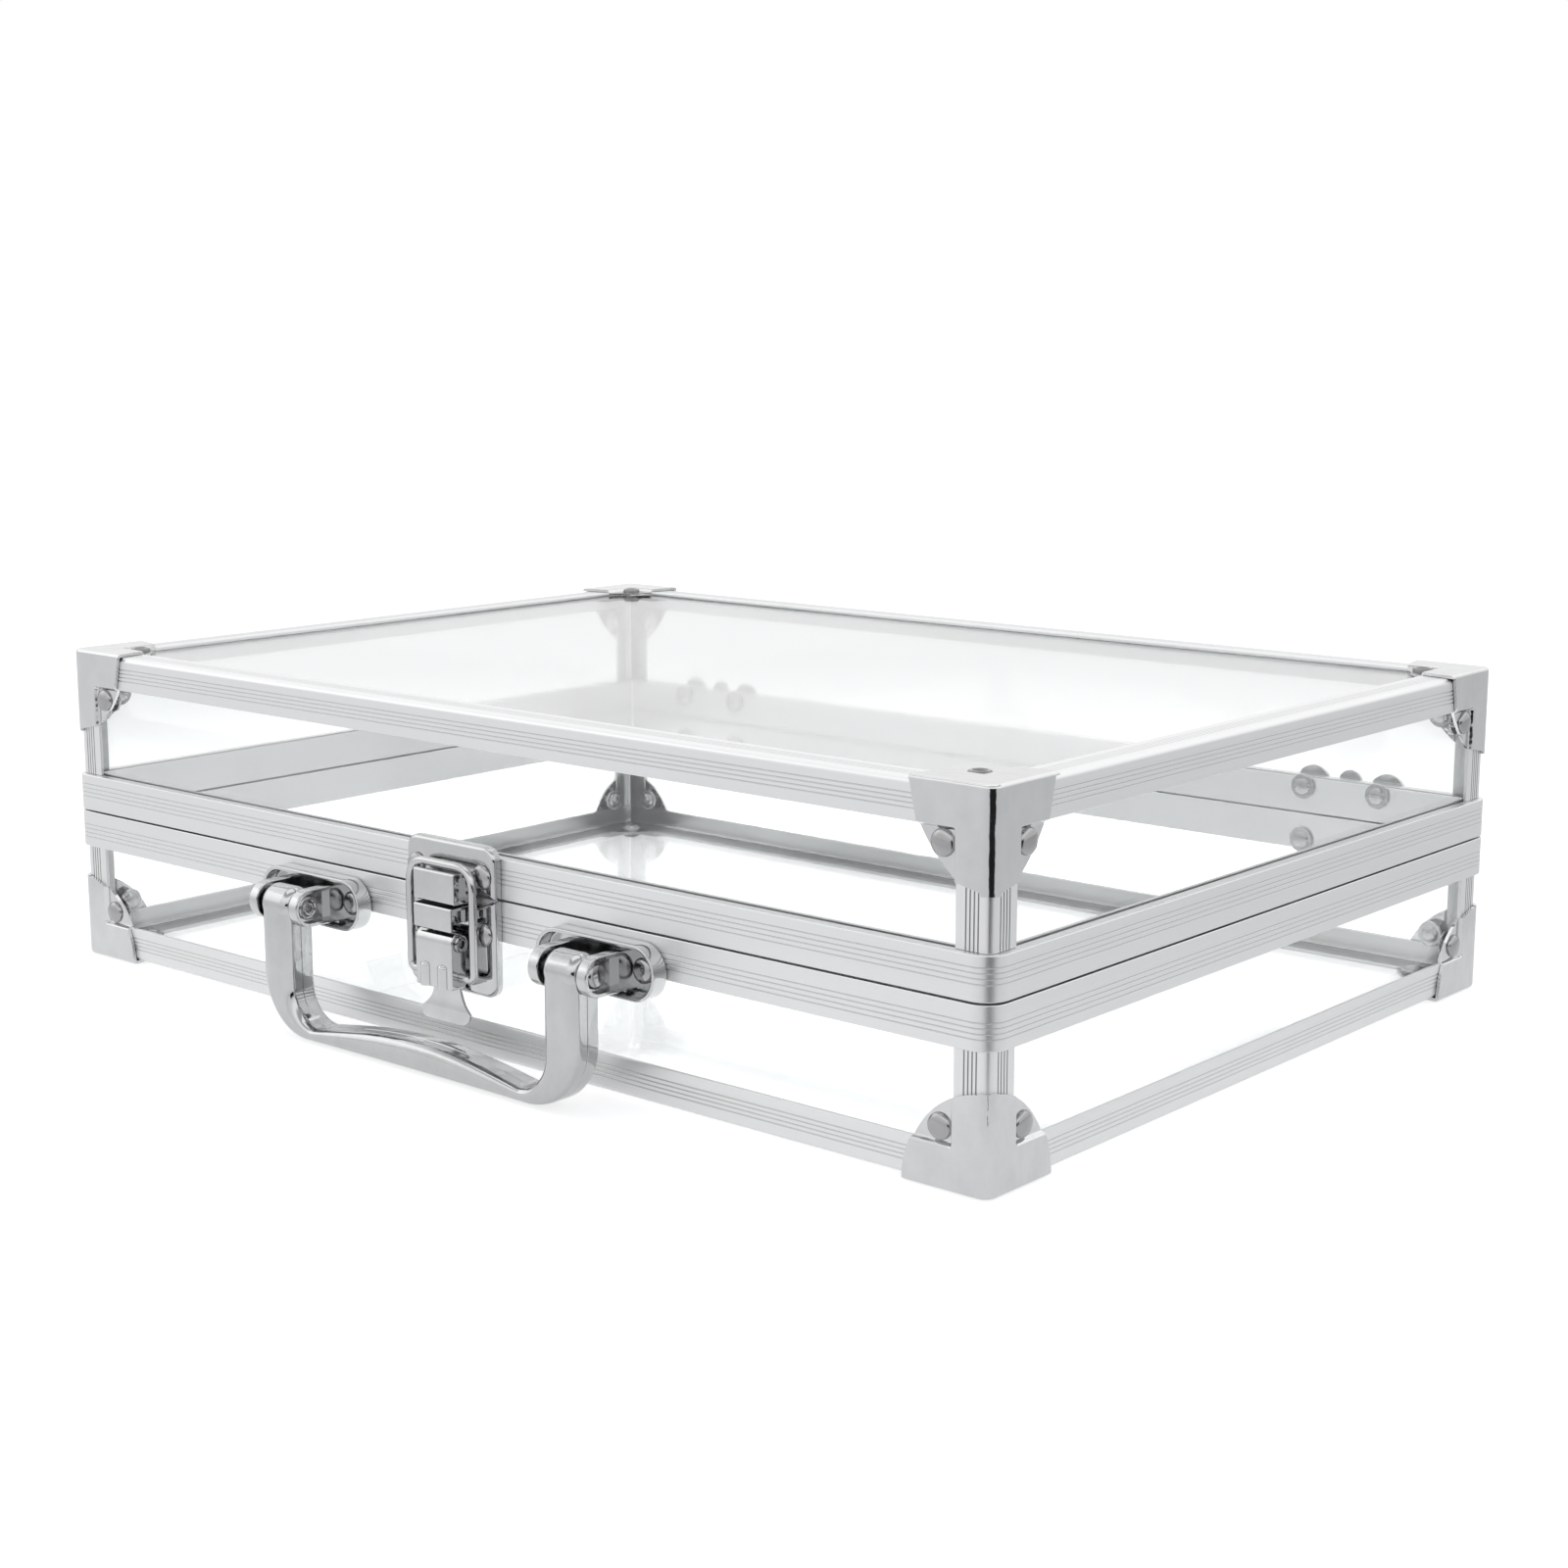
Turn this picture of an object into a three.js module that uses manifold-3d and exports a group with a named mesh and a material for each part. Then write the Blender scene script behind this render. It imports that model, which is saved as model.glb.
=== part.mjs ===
// A clear jewellery case: acrylic panes in an aluminium frame, a lid hinged at the back, and a
// draw latch and a carrying handle at the front. Millimetres, +Z up. The origin is on the floor
// under the middle of the whole case, handle and hinges included. The latch faces -Y.
import * as THREE from "three";
import { mergeVertices } from "three/addons/utils/BufferGeometryUtils.js";
import Module from "manifold-3d";

const wasm = await Module();
wasm.setup();

// Overall sizes, over the outer faces of the edge angles
const caseLength = 362;
const caseWidth = 255;
const caseHeight = 100; // floor to the top of the corner guards
const seamHeight = 48; // floor to the middle of the seam between base and lid
const seamGap = 0.5;
const fit = 0.1; // between pieces that are fixed to each other
const runningFit = 0.06; // between a pin and its bore, all round

// Panes
const paneThickness = 3;

// Edge angles and corner posts, cut from one grooved angle
const angleLeg = 10.5;
const angleThickness = 1.2;
const angleEdgeRadius = 1.5;
const cornerRadius = 2.5;
const angleGrooveMiddle = 5.5; // from the outer edge to the middle of the grooves
const grooveCount = 4;
const groovePitch = 1.2;
const grooveWidth = 0.5;
const grooveDepth = 0.3;

// Rim channels that carry the side panes and meet at the seam
const bandHeight = 11.7; // middle of the seam to the channel's mouth
const bandOverhang = 2; // the band stands out this far past the edge angles
const bandInnerWall = 1;
const bandSlotDepth = 7;
const bandCornerRadius = 6.5;
const bandInnerCorner = 0.6; // least radius inside the corners
const bandChamfer = 0.4;
const bandGrooveMiddle = 6.4; // from the seam face to the middle of the grooves
const bandGroovePitch = 1.35;

// Corner guards
const guardThickness = 1;
const guardEdgeRadius = 1;
const topGuardReach = 25.1; // along the rails, at the outer edge
const topGuardDrop = 26.5; // down the post, at the outer edge
const topGuardReachTaper = 2.7; // how much of each is lost at the rails' inner edge
const topGuardDropTaper = 2.5;
const topGuardBulge = 1.2;
const bottomGuardRadius = 26;
const guardStepWall = 0.6; // wall of the step down to the pane
const rivetInStep = 0.4; // how far a rivet's head lies into that wall

// Rivets
const rivetHeadRadius = 3.5;
const rivetHeadHeight = 1.5;
const rivetShoulderRadius = 2.5; // where the dome turns over
const rivetShoulderHeight = 1.05;
const rivetShankRadius = 2;
const washerRadius = 4;
const washerThickness = 0.8;
const peenRadius = 2.8;
const peenHeight = 0.9;
const tubeRivetHeight = 1.25;
const tubeRivetRadius = 3.1;
const tubeRivetRim = 2.6; // radius of its flat rim
const tubeRivetShoulder = 0.6; // seat to where the flare turns over
const tubeRivetBore = 1.7;
const tubeRivetDepth = 1.6;

// Hinges
const hingeInset = 47; // end of the case to the middle of a hinge
const hingeLeafThickness = 1.2;
const hingeLobeSpacing = 26;
const hingeLobeRadius = 6;
const hingeRivetRise = 8.7; // seam to the rivets
const hingePeakRadius = 4;
const hingePeakRise = 10.5;
const hingeStandoff = 3; // back of the band to the pin's axis
const knuckleRadius = 2.3;
const knuckleLength = 8.4;
const knuckleGap = 0.3;
const hingePinRadius = 1.2;

// Latch plates: the keeper above the seam and the latch plate below it
const latchWidth = 35.5;
const latchPlateThickness = 1;
const latchPlateDepth = 2.8; // band to the front of the plates
const latchCornerRadius = 4;
const latchSeamGap = 0.6;
const keeperRise = 14.8; // seam to the keeper's top
const latchPlateDrop = 27.7; // seam to the latch plate's bottom
const latchRivetSpacing = 26.6;
const keeperRivetRise = 6.3;
const latchRivetDrop = 9.8;

// Hook on the keeper and the housing under it
const hookWidth = 16.4;
const hookDepth = 6.2;
const hookRise = 7.05; // seam to the seat of the bail
const hookDrop = 1.6; // seam to the end of the hook's nose
const hookNoseGap = 0.5; // nose to the plate behind it
const hookLip = 0.3;
const hookLipThickness = 1.3;
const housingWidth = 15.2;
const housingDepth = 6.9;
const housingHeight = 4.7;
const housingLip = 2.15; // how far its front sheet hangs towards the lever
const housingSheet = 0.8;
const housingGap = 0.7; // nose to the housing

// Lever, measured from the axis of its pin
const leverPinDrop = 5.8; // housing to that axis
const leverPinRadius = 1.2;
const leverPinHeadRadius = 2.4;
const leverPinHead = 0.8;
const leverWidth = 14.7;
const leverSheet = 0.8;
const leverTopTurn = 60; // degrees that the sheet's top is rolled round the pin
const leverDrop = 12.7;
const leverFlangeBack = 2.2;
const leverFlangeCorner = 1;
const leverRibHeight = 7;
const leverRibRadius = 1.9;
const leverRibSpacing = 7;
const lugThickness = 1;
const lugRadius = 2.3;
const lugWebRise = 0.9; // pin's axis to the top of the web, low enough for the lever's rolled top
const lugGap = 0.5; // beside each lug
const lugClearance = 0.3; // in front of each lug
const tongueWidth = 10.4;
const tongueFlare = 4.6; // how much wider the tongue's end is at each side
const tongueDrop = 10.5; // below the lever
const tongueSetback = 1; // the tongue's top lies this far behind the axis
const tongueKick = 0.1; // and its end this far in front of it
const tongueScoop = 0.8;
const tongueCorner = 3;

// Bail
const bailRadius = 1.2;
const bailWidth = 25.6;
const bailPivotDrop = 9.6; // axis of the lever's pin to the bail's own pivot
const bailSeatGap = 0.35; // over the hook's lip
const bailRivetGap = 0.5; // in front of the rivet heads
const bailCornerRadius = 6.5;
const bailFootRadius = 2;
const bailEndInset = 1.2; // bail end past the inside of the lever's flange

// Handle
const handleSpan = 116.4; // between the middles of the legs
const handleLegWidth = 12.4;
const handleDepth = 9.8;
const handleFrontRadius = 3; // of its two front edges
const handleBackChamfer = 0.8;
const handleEyeRadius = 5.6; // round the pins
const handlePinDrop = 10; // seam to the axis of the handle's pins
const handlePinStandoff = 13.6; // front of the band to that axis
const handlePinRadius = 2;
const handlePinHeadRadius = 3.4;
const handlePinHead = 1.3;
const handleBottom = 0.3; // above the floor
const handleOuterRadius = 18.5;
const handleInnerRadius = 10.5;
const gripEndThickness = 3.8;
const gripMiddleThickness = 8.2;

// Brackets of the handle: a pressed cup on the band and two ears
const bracketWidth = 43.8;
const bracketHeight = 15.2;
const bracketDepth = 5.4;
const bracketSheet = 1.2;
const bracketRivetSpacing = 28.8;
const earGap = 1.05; // between a leg and the ear beside it
const earThickness = 3.4;
const earRadius = 5.5;
const earDish = 1.8;
const earRim = 1.1;

// How finely curves are divided, and how far a cutting shape runs past what it cuts
const roundSides = 12;
const wideSides = 16;
const rivetSides = 8;
const bailSides = 8;
const bailSteps = 44;
const bandCornerSteps = 3;
const handleArcSteps = 6;
const handleGripSteps = 7;
const handleEdgeSteps = 3;
const cutPast = 1;

// Places worked out from the sizes above, on the case's middle
const halfLength = caseLength / 2;
const halfWidth = caseWidth / 2;
const paneInset = angleThickness + fit;
const paneHalfLength = halfLength - paneInset;
const paneHalfWidth = halfWidth - paneInset;
const bandThickness = bandOverhang + paneInset + paneThickness + fit + bandInnerWall;
const bandRise = bandHeight - seamGap / 2;
const bandFront = -(halfWidth + bandOverhang);
const bandBack = halfWidth + bandOverhang;
const guardStandoff = guardThickness + fit;
const guardStepStart = guardStandoff + angleLeg + fit;
const guardFloorStart = guardStepStart + guardStepWall;
const guardRivetInset = guardFloorStart + rivetHeadRadius - rivetInStep;
const hingeOffset = halfLength - hingeInset;
const hingeAxisY = bandBack + hingeStandoff;
const latchFaceY = bandFront - latchPlateDepth;
const hookFrontY = latchFaceY - hookDepth;
const housingFrontY = latchFaceY - housingDepth;
const hookTop = seamHeight + hookRise;
const hookBottom = seamHeight - hookDrop;
const housingTop = hookBottom - housingGap;
const housingBottom = housingTop - housingHeight;
const leverPinHeight = housingBottom - leverPinDrop;
const leverPinY = latchFaceY - fit - rivetHeadHeight - bailRivetGap - bailRadius;
const leverTopRadius = lugRadius + lugClearance + leverSheet;
const leverFrontY = leverPinY - leverTopRadius;
const leverBottom = leverPinHeight - leverDrop;
const bailPivotHeight = leverPinHeight - bailPivotDrop;
const bailTop = hookTop + hookLip + bailSeatGap + bailRadius;
const handlePinY = bandFront - handlePinStandoff;
const handlePinHeight = seamHeight - handlePinDrop;
const frontReach = handlePinY - Math.max(earRadius, handleEyeRadius);
const backReach = hingeAxisY + knuckleRadius;
const frameShift = -(frontReach + backReach) / 2;

// The two halves of the case: which way is outward, the seam face and the outer plane of the angles
const lid = {
  name: "lid",
  outward: 1,
  seamFace: seamHeight + seamGap / 2,
  outerFace: caseHeight - guardStandoff,
  outerEdge: "top",
};
const base = {
  name: "base",
  outward: -1,
  seamFace: seamHeight - seamGap / 2,
  outerFace: guardStandoff,
  outerEdge: "bottom",
};

// Materials
const acrylic = { color: 0xf4f6f7, roughness: 0.05, metalness: 0, transparent: true, opacity: 0.3 };
const aluminium = { color: 0xc9cacb, roughness: 0.35, metalness: 1 };
const chrome = { color: 0xd8d9da, roughness: 0.12, metalness: 1 };
const steel = { color: 0xb9babb, roughness: 0.3, metalness: 1 };

const caseGroup = new THREE.Group();
caseGroup.position.y = frameShift;

// A closed geometry as a solid, its faces turned outward.
function solid(geometry) {
  const bare = geometry.clone();
  bare.deleteAttribute("normal");
  bare.deleteAttribute("uv");
  const merged = mergeVertices(bare, 1e-4);
  const triangles = new Uint32Array(merged.index.array);
  const make = () =>
    new wasm.Manifold(
      new wasm.Mesh({
        numProp: 3,
        vertProperties: new Float32Array(merged.attributes.position.array),
        triVerts: triangles,
      }),
    );
  const made = make();
  if (made.volume() > 0) return made;
  for (let i = 0; i < triangles.length; i += 3) {
    [triangles[i + 1], triangles[i + 2]] = [triangles[i + 2], triangles[i + 1]];
  }
  return make();
}

function addMesh(name, body, look) {
  const cut = body.getMesh();
  const positions = new Float32Array(cut.numVert * 3);
  for (let i = 0; i < cut.numVert; i++) {
    positions.set(cut.vertProperties.subarray(i * cut.numProp, i * cut.numProp + 3), i * 3);
  }
  const geometry = new THREE.BufferGeometry();
  geometry.setAttribute("position", new THREE.BufferAttribute(positions, 3));
  geometry.setIndex(new THREE.BufferAttribute(new Uint32Array(cut.triVerts), 1));
  geometry.computeVertexNormals();
  const mesh = new THREE.Mesh(geometry, new THREE.MeshStandardMaterial(look));
  mesh.name = name;
  caseGroup.add(mesh);
  return mesh;
}

const joined = (bodies) => bodies.reduce((sum, body) => sum.add(body));

const without = (body, cutters) => cutters.reduce((rest, cutter) => rest.subtract(cutter), body);

const X = [1, 0, 0];
const Y = [0, 1, 0];
const Z = [0, 0, 1];
const sides = [[-1, "left"], [1, "right"]];
const faces = [[-1, "front"], [1, "back"]];
const corners = [[-1, -1], [1, -1], [-1, 1], [1, 1]];
const cornerName = (sx, sy) => `${sy < 0 ? "front" : "back"}_${sx < 0 ? "left" : "right"}`;

// A box between two corners, given in any order.
function span(x0, x1, y0, y1, z0, z1) {
  const box = new THREE.BoxGeometry(Math.abs(x1 - x0), Math.abs(y1 - y0), Math.abs(z1 - z0));
  return solid(box.translate((x0 + x1) / 2, (y0 + y1) / 2, (z0 + z1) / 2));
}

// Moves a geometry so that its own x, y and z run along three given directions.
function oriented(geometry, x, y, z, origin = [0, 0, 0]) {
  const axes = [x, y, z].map((axis) => new THREE.Vector3(...axis));
  const matrix = new THREE.Matrix4().makeBasis(...axes).setPosition(...origin);
  return geometry.applyMatrix4(matrix);
}

// An outline in x and z, thickened from y0 to y1.
function frontPlate(outline, y0, y1, curveSegments = 2) {
  const depth = Math.abs(y1 - y0);
  const plate = new THREE.ExtrudeGeometry(outline, { depth, bevelEnabled: false, curveSegments });
  return solid(oriented(plate, X, Z, Y, [0, Math.min(y0, y1), 0]));
}

// An outline in y and z, thickened from x0 to x1.
function sidePlate(outline, x0, x1, curveSegments = 2) {
  const depth = Math.abs(x1 - x0);
  const plate = new THREE.ExtrudeGeometry(outline, { depth, bevelEnabled: false, curveSegments });
  return solid(oriented(plate, Y, Z, X, [Math.min(x0, x1), 0, 0]));
}

function roundedRect(x0, x1, y0, y1, radius) {
  const outline = new THREE.Shape();
  const right = Math.PI / 2;
  outline.moveTo(x0 + radius, y0);
  outline.absarc(x1 - radius, y0 + radius, radius, -right, 0);
  outline.absarc(x1 - radius, y1 - radius, radius, 0, right);
  outline.absarc(x0 + radius, y1 - radius, radius, right, 2 * right);
  outline.absarc(x0 + radius, y0 + radius, radius, 2 * right, 3 * right);
  return outline;
}

// A bar with round ends, lying along x
function obround(x0, x1, y, radius) {
  const outline = new THREE.Shape();
  outline.absarc(x1 - radius, y, radius, -Math.PI / 2, Math.PI / 2);
  outline.absarc(x0 + radius, y, radius, Math.PI / 2, 1.5 * Math.PI);
  return outline;
}

// A round bar between two points on a line along x, y or z.
function bar(axis, start, end, center, radius, around = roundSides) {
  const rod = new THREE.CylinderGeometry(radius, radius, Math.abs(end - start), around);
  const middle = (start + end) / 2;
  if (axis === "x") return solid(rod.rotateZ(Math.PI / 2).translate(middle, ...center));
  if (axis === "y") return solid(rod.translate(center[0], middle, center[1]));
  return solid(rod.rotateX(Math.PI / 2).translate(...center, middle));
}

// The radius at the corners of a many-sided bore that clears a turning pin.
const boreRadius = (pinRadius) => (pinRadius + runningFit) / Math.cos(Math.PI / roundSides);

// Rivets
const domedHead = [
  [0, -rivetHeadHeight],
  [rivetShoulderRadius, -rivetShoulderHeight],
  [rivetHeadRadius, 0],
];
const flaredHead = [
  [0, -tubeRivetHeight],
  [tubeRivetRim, -tubeRivetHeight],
  [tubeRivetRadius, -tubeRivetShoulder],
  [tubeRivetRadius, 0],
];

// A rivet along its inward direction: its head, a shank through the grip, a washer and the peened
// end. The origin is the middle of the head's seat.
function rivetBody(grip, origin, inward, head = domedHead) {
  const washerEnd = grip + washerThickness;
  const profile = [
    ...head,
    [rivetShankRadius, 0],
    [rivetShankRadius, grip],
    [washerRadius, grip],
    [washerRadius, washerEnd],
    [peenRadius, washerEnd],
    [0, washerEnd + peenHeight],
  ];
  const points = profile.map(([r, height]) => new THREE.Vector2(r, height));
  const turned = new THREE.LatheGeometry(points, rivetSides).rotateX(Math.PI / 2);
  const across = inward[0] ? Y : X;
  const along = new THREE.Vector3(...inward);
  const third = new THREE.Vector3().crossVectors(along, new THREE.Vector3(...across));
  return solid(oriented(turned, across, third.toArray(), inward, origin));
}

// The rivets that pass through a band and the pane in its slot, at the front or the back
const bandRivets = (side, height, places) => places.map((x) => ({ x, z: height, side }));

const pairAbout = (middle, spacing) => [middle - spacing / 2, middle + spacing / 2];
const hingePlaces = sides.flatMap(([side]) => pairAbout(side * hingeOffset, hingeLobeSpacing));
const bracketPlaces = sides.flatMap(([side]) =>
  pairAbout((side * handleSpan) / 2, bracketRivetSpacing),
);
const latchPlaces = pairAbout(0, latchRivetSpacing);
const latchRivets = {
  lid: bandRivets(-1, seamHeight + keeperRivetRise, latchPlaces),
  base: bandRivets(-1, seamHeight - latchRivetDrop, latchPlaces),
};
const hingeRivets = {
  lid: bandRivets(1, seamHeight + hingeRivetRise, hingePlaces),
  base: bandRivets(1, seamHeight - hingeRivetRise, hingePlaces),
};
const bracketRivets = { lid: [], base: bandRivets(-1, handlePinHeight, bracketPlaces) };
const allBandRivets = (half) => [
  ...latchRivets[half.name],
  ...hingeRivets[half.name],
  ...bracketRivets[half.name],
];

// A hole for a rivet through whatever lies between two y values
const rivetHole = (y0, y1) => (rivet) =>
  bar("y", y0, y1, [rivet.x, rivet.z], rivetShankRadius + fit, rivetSides);

function bandRivetHole(rivet) {
  const outer = rivet.side * (bandBack + cutPast);
  const inner = rivet.side * (bandBack - bandThickness - cutPast);
  return rivetHole(outer, inner)(rivet);
}

// A band rivet whose head sits at the given y
function bandRivetBody(rivet, headY) {
  const grip = Math.abs(headY) - (bandBack - bandThickness - fit);
  return rivetBody(grip, [rivet.x, headY, rivet.z], [0, -rivet.side, 0]);
}

// Panes: one over the whole outer face and four round the sides, with holes for their rivets
function buildPanes(half) {
  const outside = half.outerFace - half.outward * paneInset;
  const inside = outside - half.outward * paneThickness;
  const sideTop = inside - half.outward * fit;
  const sideBottom = half.seamFace + half.outward * (bandRise - bandSlotDepth + fit);
  const fromAngles = guardRivetInset - guardStandoff;
  const rivetX = halfLength - fromAngles;
  const rivetY = halfWidth - fromAngles;
  const rivetZ = half.outerFace - half.outward * fromAngles;
  const guardHole = (axis, start, end, center) =>
    bar(axis, start, end, center, rivetShankRadius + fit, rivetSides);
  const coverStart = outside + half.outward * cutPast;
  const coverEnd = inside - half.outward * cutPast;
  const coverHoles = corners.map(([sx, sy]) =>
    guardHole("z", coverStart, coverEnd, [sx * rivetX, sy * rivetY]),
  );
  const cover = span(
    -paneHalfLength,
    paneHalfLength,
    -paneHalfWidth,
    paneHalfWidth,
    outside,
    inside,
  );
  addMesh(`${half.name}_${half.outerEdge}_pane`, without(cover, coverHoles), acrylic);
  for (const [side, name] of faces) {
    const outerY = side * paneHalfWidth;
    const innerY = side * (paneHalfWidth - paneThickness);
    const pane = span(-paneHalfLength, paneHalfLength, outerY, innerY, sideBottom, sideTop);
    const guardHoles = sides.map(([sx]) =>
      guardHole("y", outerY + side * cutPast, innerY - side * cutPast, [sx * rivetX, rivetZ]),
    );
    const bandHoles = allBandRivets(half).filter((rivet) => rivet.side === side).map(bandRivetHole);
    addMesh(`${half.name}_${name}_pane`, without(pane, [...guardHoles, ...bandHoles]), acrylic);
  }
  const endY = paneHalfWidth - paneThickness - fit;
  for (const [side, name] of sides) {
    const outerX = side * paneHalfLength;
    const innerX = side * (paneHalfLength - paneThickness);
    const pane = span(outerX, innerX, -endY, endY, sideBottom, sideTop);
    const guardHoles = faces.map(([sy]) =>
      guardHole("x", outerX + side * cutPast, innerX - side * cutPast, [sy * rivetY, rivetZ]),
    );
    addMesh(`${half.name}_${name}_pane`, without(pane, guardHoles), acrylic);
  }
}

// Edge angles and posts. The section's x and y both run inward from the outer edge.
function angleSection(edgeRadius) {
  const half = grooveWidth / 2;
  const first = angleGrooveMiddle - ((grooveCount - 1) * groovePitch) / 2;
  const section = new THREE.Shape();
  section.moveTo(angleLeg, 0);
  for (let i = grooveCount - 1; i >= 0; i--) {
    const middle = first + i * groovePitch;
    section.lineTo(middle + half, 0);
    section.lineTo(middle, grooveDepth);
    section.lineTo(middle - half, 0);
  }
  section.absarc(edgeRadius, edgeRadius, edgeRadius, -Math.PI / 2, -Math.PI, true);
  for (let i = 0; i < grooveCount; i++) {
    const middle = first + i * groovePitch;
    section.lineTo(0, middle - half);
    section.lineTo(grooveDepth, middle);
    section.lineTo(0, middle + half);
  }
  section.lineTo(0, angleLeg);
  section.lineTo(angleThickness, angleLeg);
  section.lineTo(angleThickness, angleThickness);
  section.lineTo(angleLeg, angleThickness);
  return section;
}

// A length of angle centred on z = 0; a mitred one is shorter by its depth at each end.
function angleLength(length, edgeRadius, mitred) {
  const angle = new THREE.ExtrudeGeometry(angleSection(edgeRadius), {
    depth: length,
    bevelEnabled: false,
    curveSegments: 2,
  });
  const position = angle.attributes.position;
  for (let i = 0; i < position.count; i++) {
    const end = position.getZ(i) > length / 2 ? 1 : -1;
    const shortening = mitred ? position.getX(i) + fit : 0;
    position.setZ(i, end * (length / 2 - shortening));
  }
  return angle;
}

// The upright column whose rounded corners the mitred angles follow
const column = solid(
  new THREE.ExtrudeGeometry(
    roundedRect(-halfLength, halfLength, -halfWidth, halfWidth, cornerRadius),
    { depth: caseHeight, bevelEnabled: false, curveSegments: 2 },
  ),
);

function buildAngles(half) {
  const down = [0, 0, -half.outward];
  const rails = [
    ["front", caseLength, Y, X, [0, -halfWidth, half.outerFace]],
    ["back", caseLength, [0, -1, 0], X, [0, halfWidth, half.outerFace]],
    ["left", caseWidth, X, Y, [-halfLength, 0, half.outerFace]],
    ["right", caseWidth, [-1, 0, 0], Y, [halfLength, 0, half.outerFace]],
  ];
  for (const [name, length, inward, along, origin] of rails) {
    const rail = angleLength(length, angleEdgeRadius, true);
    const body = solid(oriented(rail, inward, down, along, origin)).intersect(column);
    addMesh(`${half.name}_${name}_rail`, body, aluminium);
  }
  const postEnd = half.outerFace - half.outward * (angleLeg + fit);
  const postStart = half.seamFace + half.outward * (bandRise + fit);
  const middle = (postEnd + postStart) / 2;
  for (const [sx, sy] of corners) {
    const post = angleLength(Math.abs(postEnd - postStart), cornerRadius, false);
    const origin = [sx * halfLength, sy * halfWidth, middle];
    const body = solid(oriented(post, [-sx, 0, 0], [0, -sy, 0], Z, origin));
    addMesh(`${half.name}_${cornerName(sx, sy)}_post`, body, aluminium);
  }
}

// One turn of a rim channel at a depth below its outer face: a rounded rectangle of points
function bandRing(depth) {
  const halfX = halfLength + bandOverhang - depth;
  const halfY = halfWidth + bandOverhang - depth;
  const radius = Math.max(bandCornerRadius - depth, bandInnerCorner);
  const ring = [];
  for (const [sx, sy, from] of [[1, -1, -90], [1, 1, 0], [-1, 1, 90], [-1, -1, 180]]) {
    for (let step = 0; step <= bandCornerSteps; step++) {
      const angle = THREE.MathUtils.degToRad(from + (90 * step) / bandCornerSteps);
      const x = sx * (halfX - radius) + radius * Math.cos(angle);
      ring.push([x, sy * (halfY - radius) + radius * Math.sin(angle)]);
    }
  }
  return ring;
}

// A closed loop of a closed section, given as [depth, height] pairs
function bandLoop(section) {
  const rings = section.map(([depth, z]) => bandRing(depth).map(([x, y]) => [x, y, z]));
  const around = rings[0].length;
  const index = [];
  for (let i = 0; i < rings.length; i++) {
    const next = (i + 1) % rings.length;
    for (let j = 0; j < around; j++) {
      const [a, b] = [i * around + j, i * around + ((j + 1) % around)];
      const [c, d] = [next * around + j, next * around + ((j + 1) % around)];
      index.push(a, b, d, a, d, c);
    }
  }
  const loop = new THREE.BufferGeometry();
  loop.setAttribute("position", new THREE.Float32BufferAttribute(rings.flat(2), 3));
  loop.setIndex(index);
  return loop;
}

function buildBand(half) {
  const level = (rise) => half.seamFace + half.outward * rise;
  const section = [[bandChamfer, level(0)], [0, level(bandChamfer)]];
  for (let i = 0; i < grooveCount; i++) {
    const middle = bandGrooveMiddle + (i - (grooveCount - 1) / 2) * bandGroovePitch;
    section.push([0, level(middle - grooveWidth / 2)]);
    section.push([grooveDepth, level(middle)]);
    section.push([0, level(middle + grooveWidth / 2)]);
  }
  section.push([0, level(bandRise - bandChamfer)], [bandChamfer, level(bandRise)]);
  section.push([bandThickness, level(bandRise)], [bandThickness, level(0)]);
  const slotFloor = bandRise - bandSlotDepth;
  const outerX = paneHalfLength + fit;
  const outerY = paneHalfWidth + fit;
  const innerX = paneHalfLength - paneThickness - fit;
  const innerY = paneHalfWidth - paneThickness - fit;
  const inwardOf = (x, y, from, to) => span(-x, x, -y, y, level(from), level(to));
  const slot = inwardOf(outerX, outerY, slotFloor, bandRise + cutPast).subtract(
    inwardOf(innerX, innerY, slotFloor - cutPast, bandRise + 2 * cutPast),
  );
  const body = without(solid(bandLoop(section)), [slot, ...allBandRivets(half).map(bandRivetHole)]);
  addMesh(`${half.name}_rim_band`, body, aluminium);
}

// Corner guards, built at the origin with x, y and z running inward from the guard's outer corner
function topGuardOutline() {
  const tip = [topGuardReach - topGuardReachTaper, guardStandoff + angleLeg];
  const heel = [guardStandoff + angleLeg, topGuardDrop - topGuardDropTaper];
  const outline = new THREE.Shape();
  outline.moveTo(0, 0);
  outline.lineTo(topGuardReach, 0);
  outline.lineTo(...tip);
  outline.quadraticCurveTo(
    (tip[0] + heel[0]) / 2 + topGuardBulge,
    (tip[1] + heel[1]) / 2 + topGuardBulge,
    ...heel,
  );
  outline.lineTo(0, topGuardDrop);
  return outline;
}

function bottomGuardOutline() {
  const outline = new THREE.Shape();
  outline.moveTo(0, 0);
  outline.lineTo(bottomGuardRadius, 0);
  outline.absarc(0, 0, bottomGuardRadius, 0, Math.PI / 2);
  return outline;
}

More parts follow.
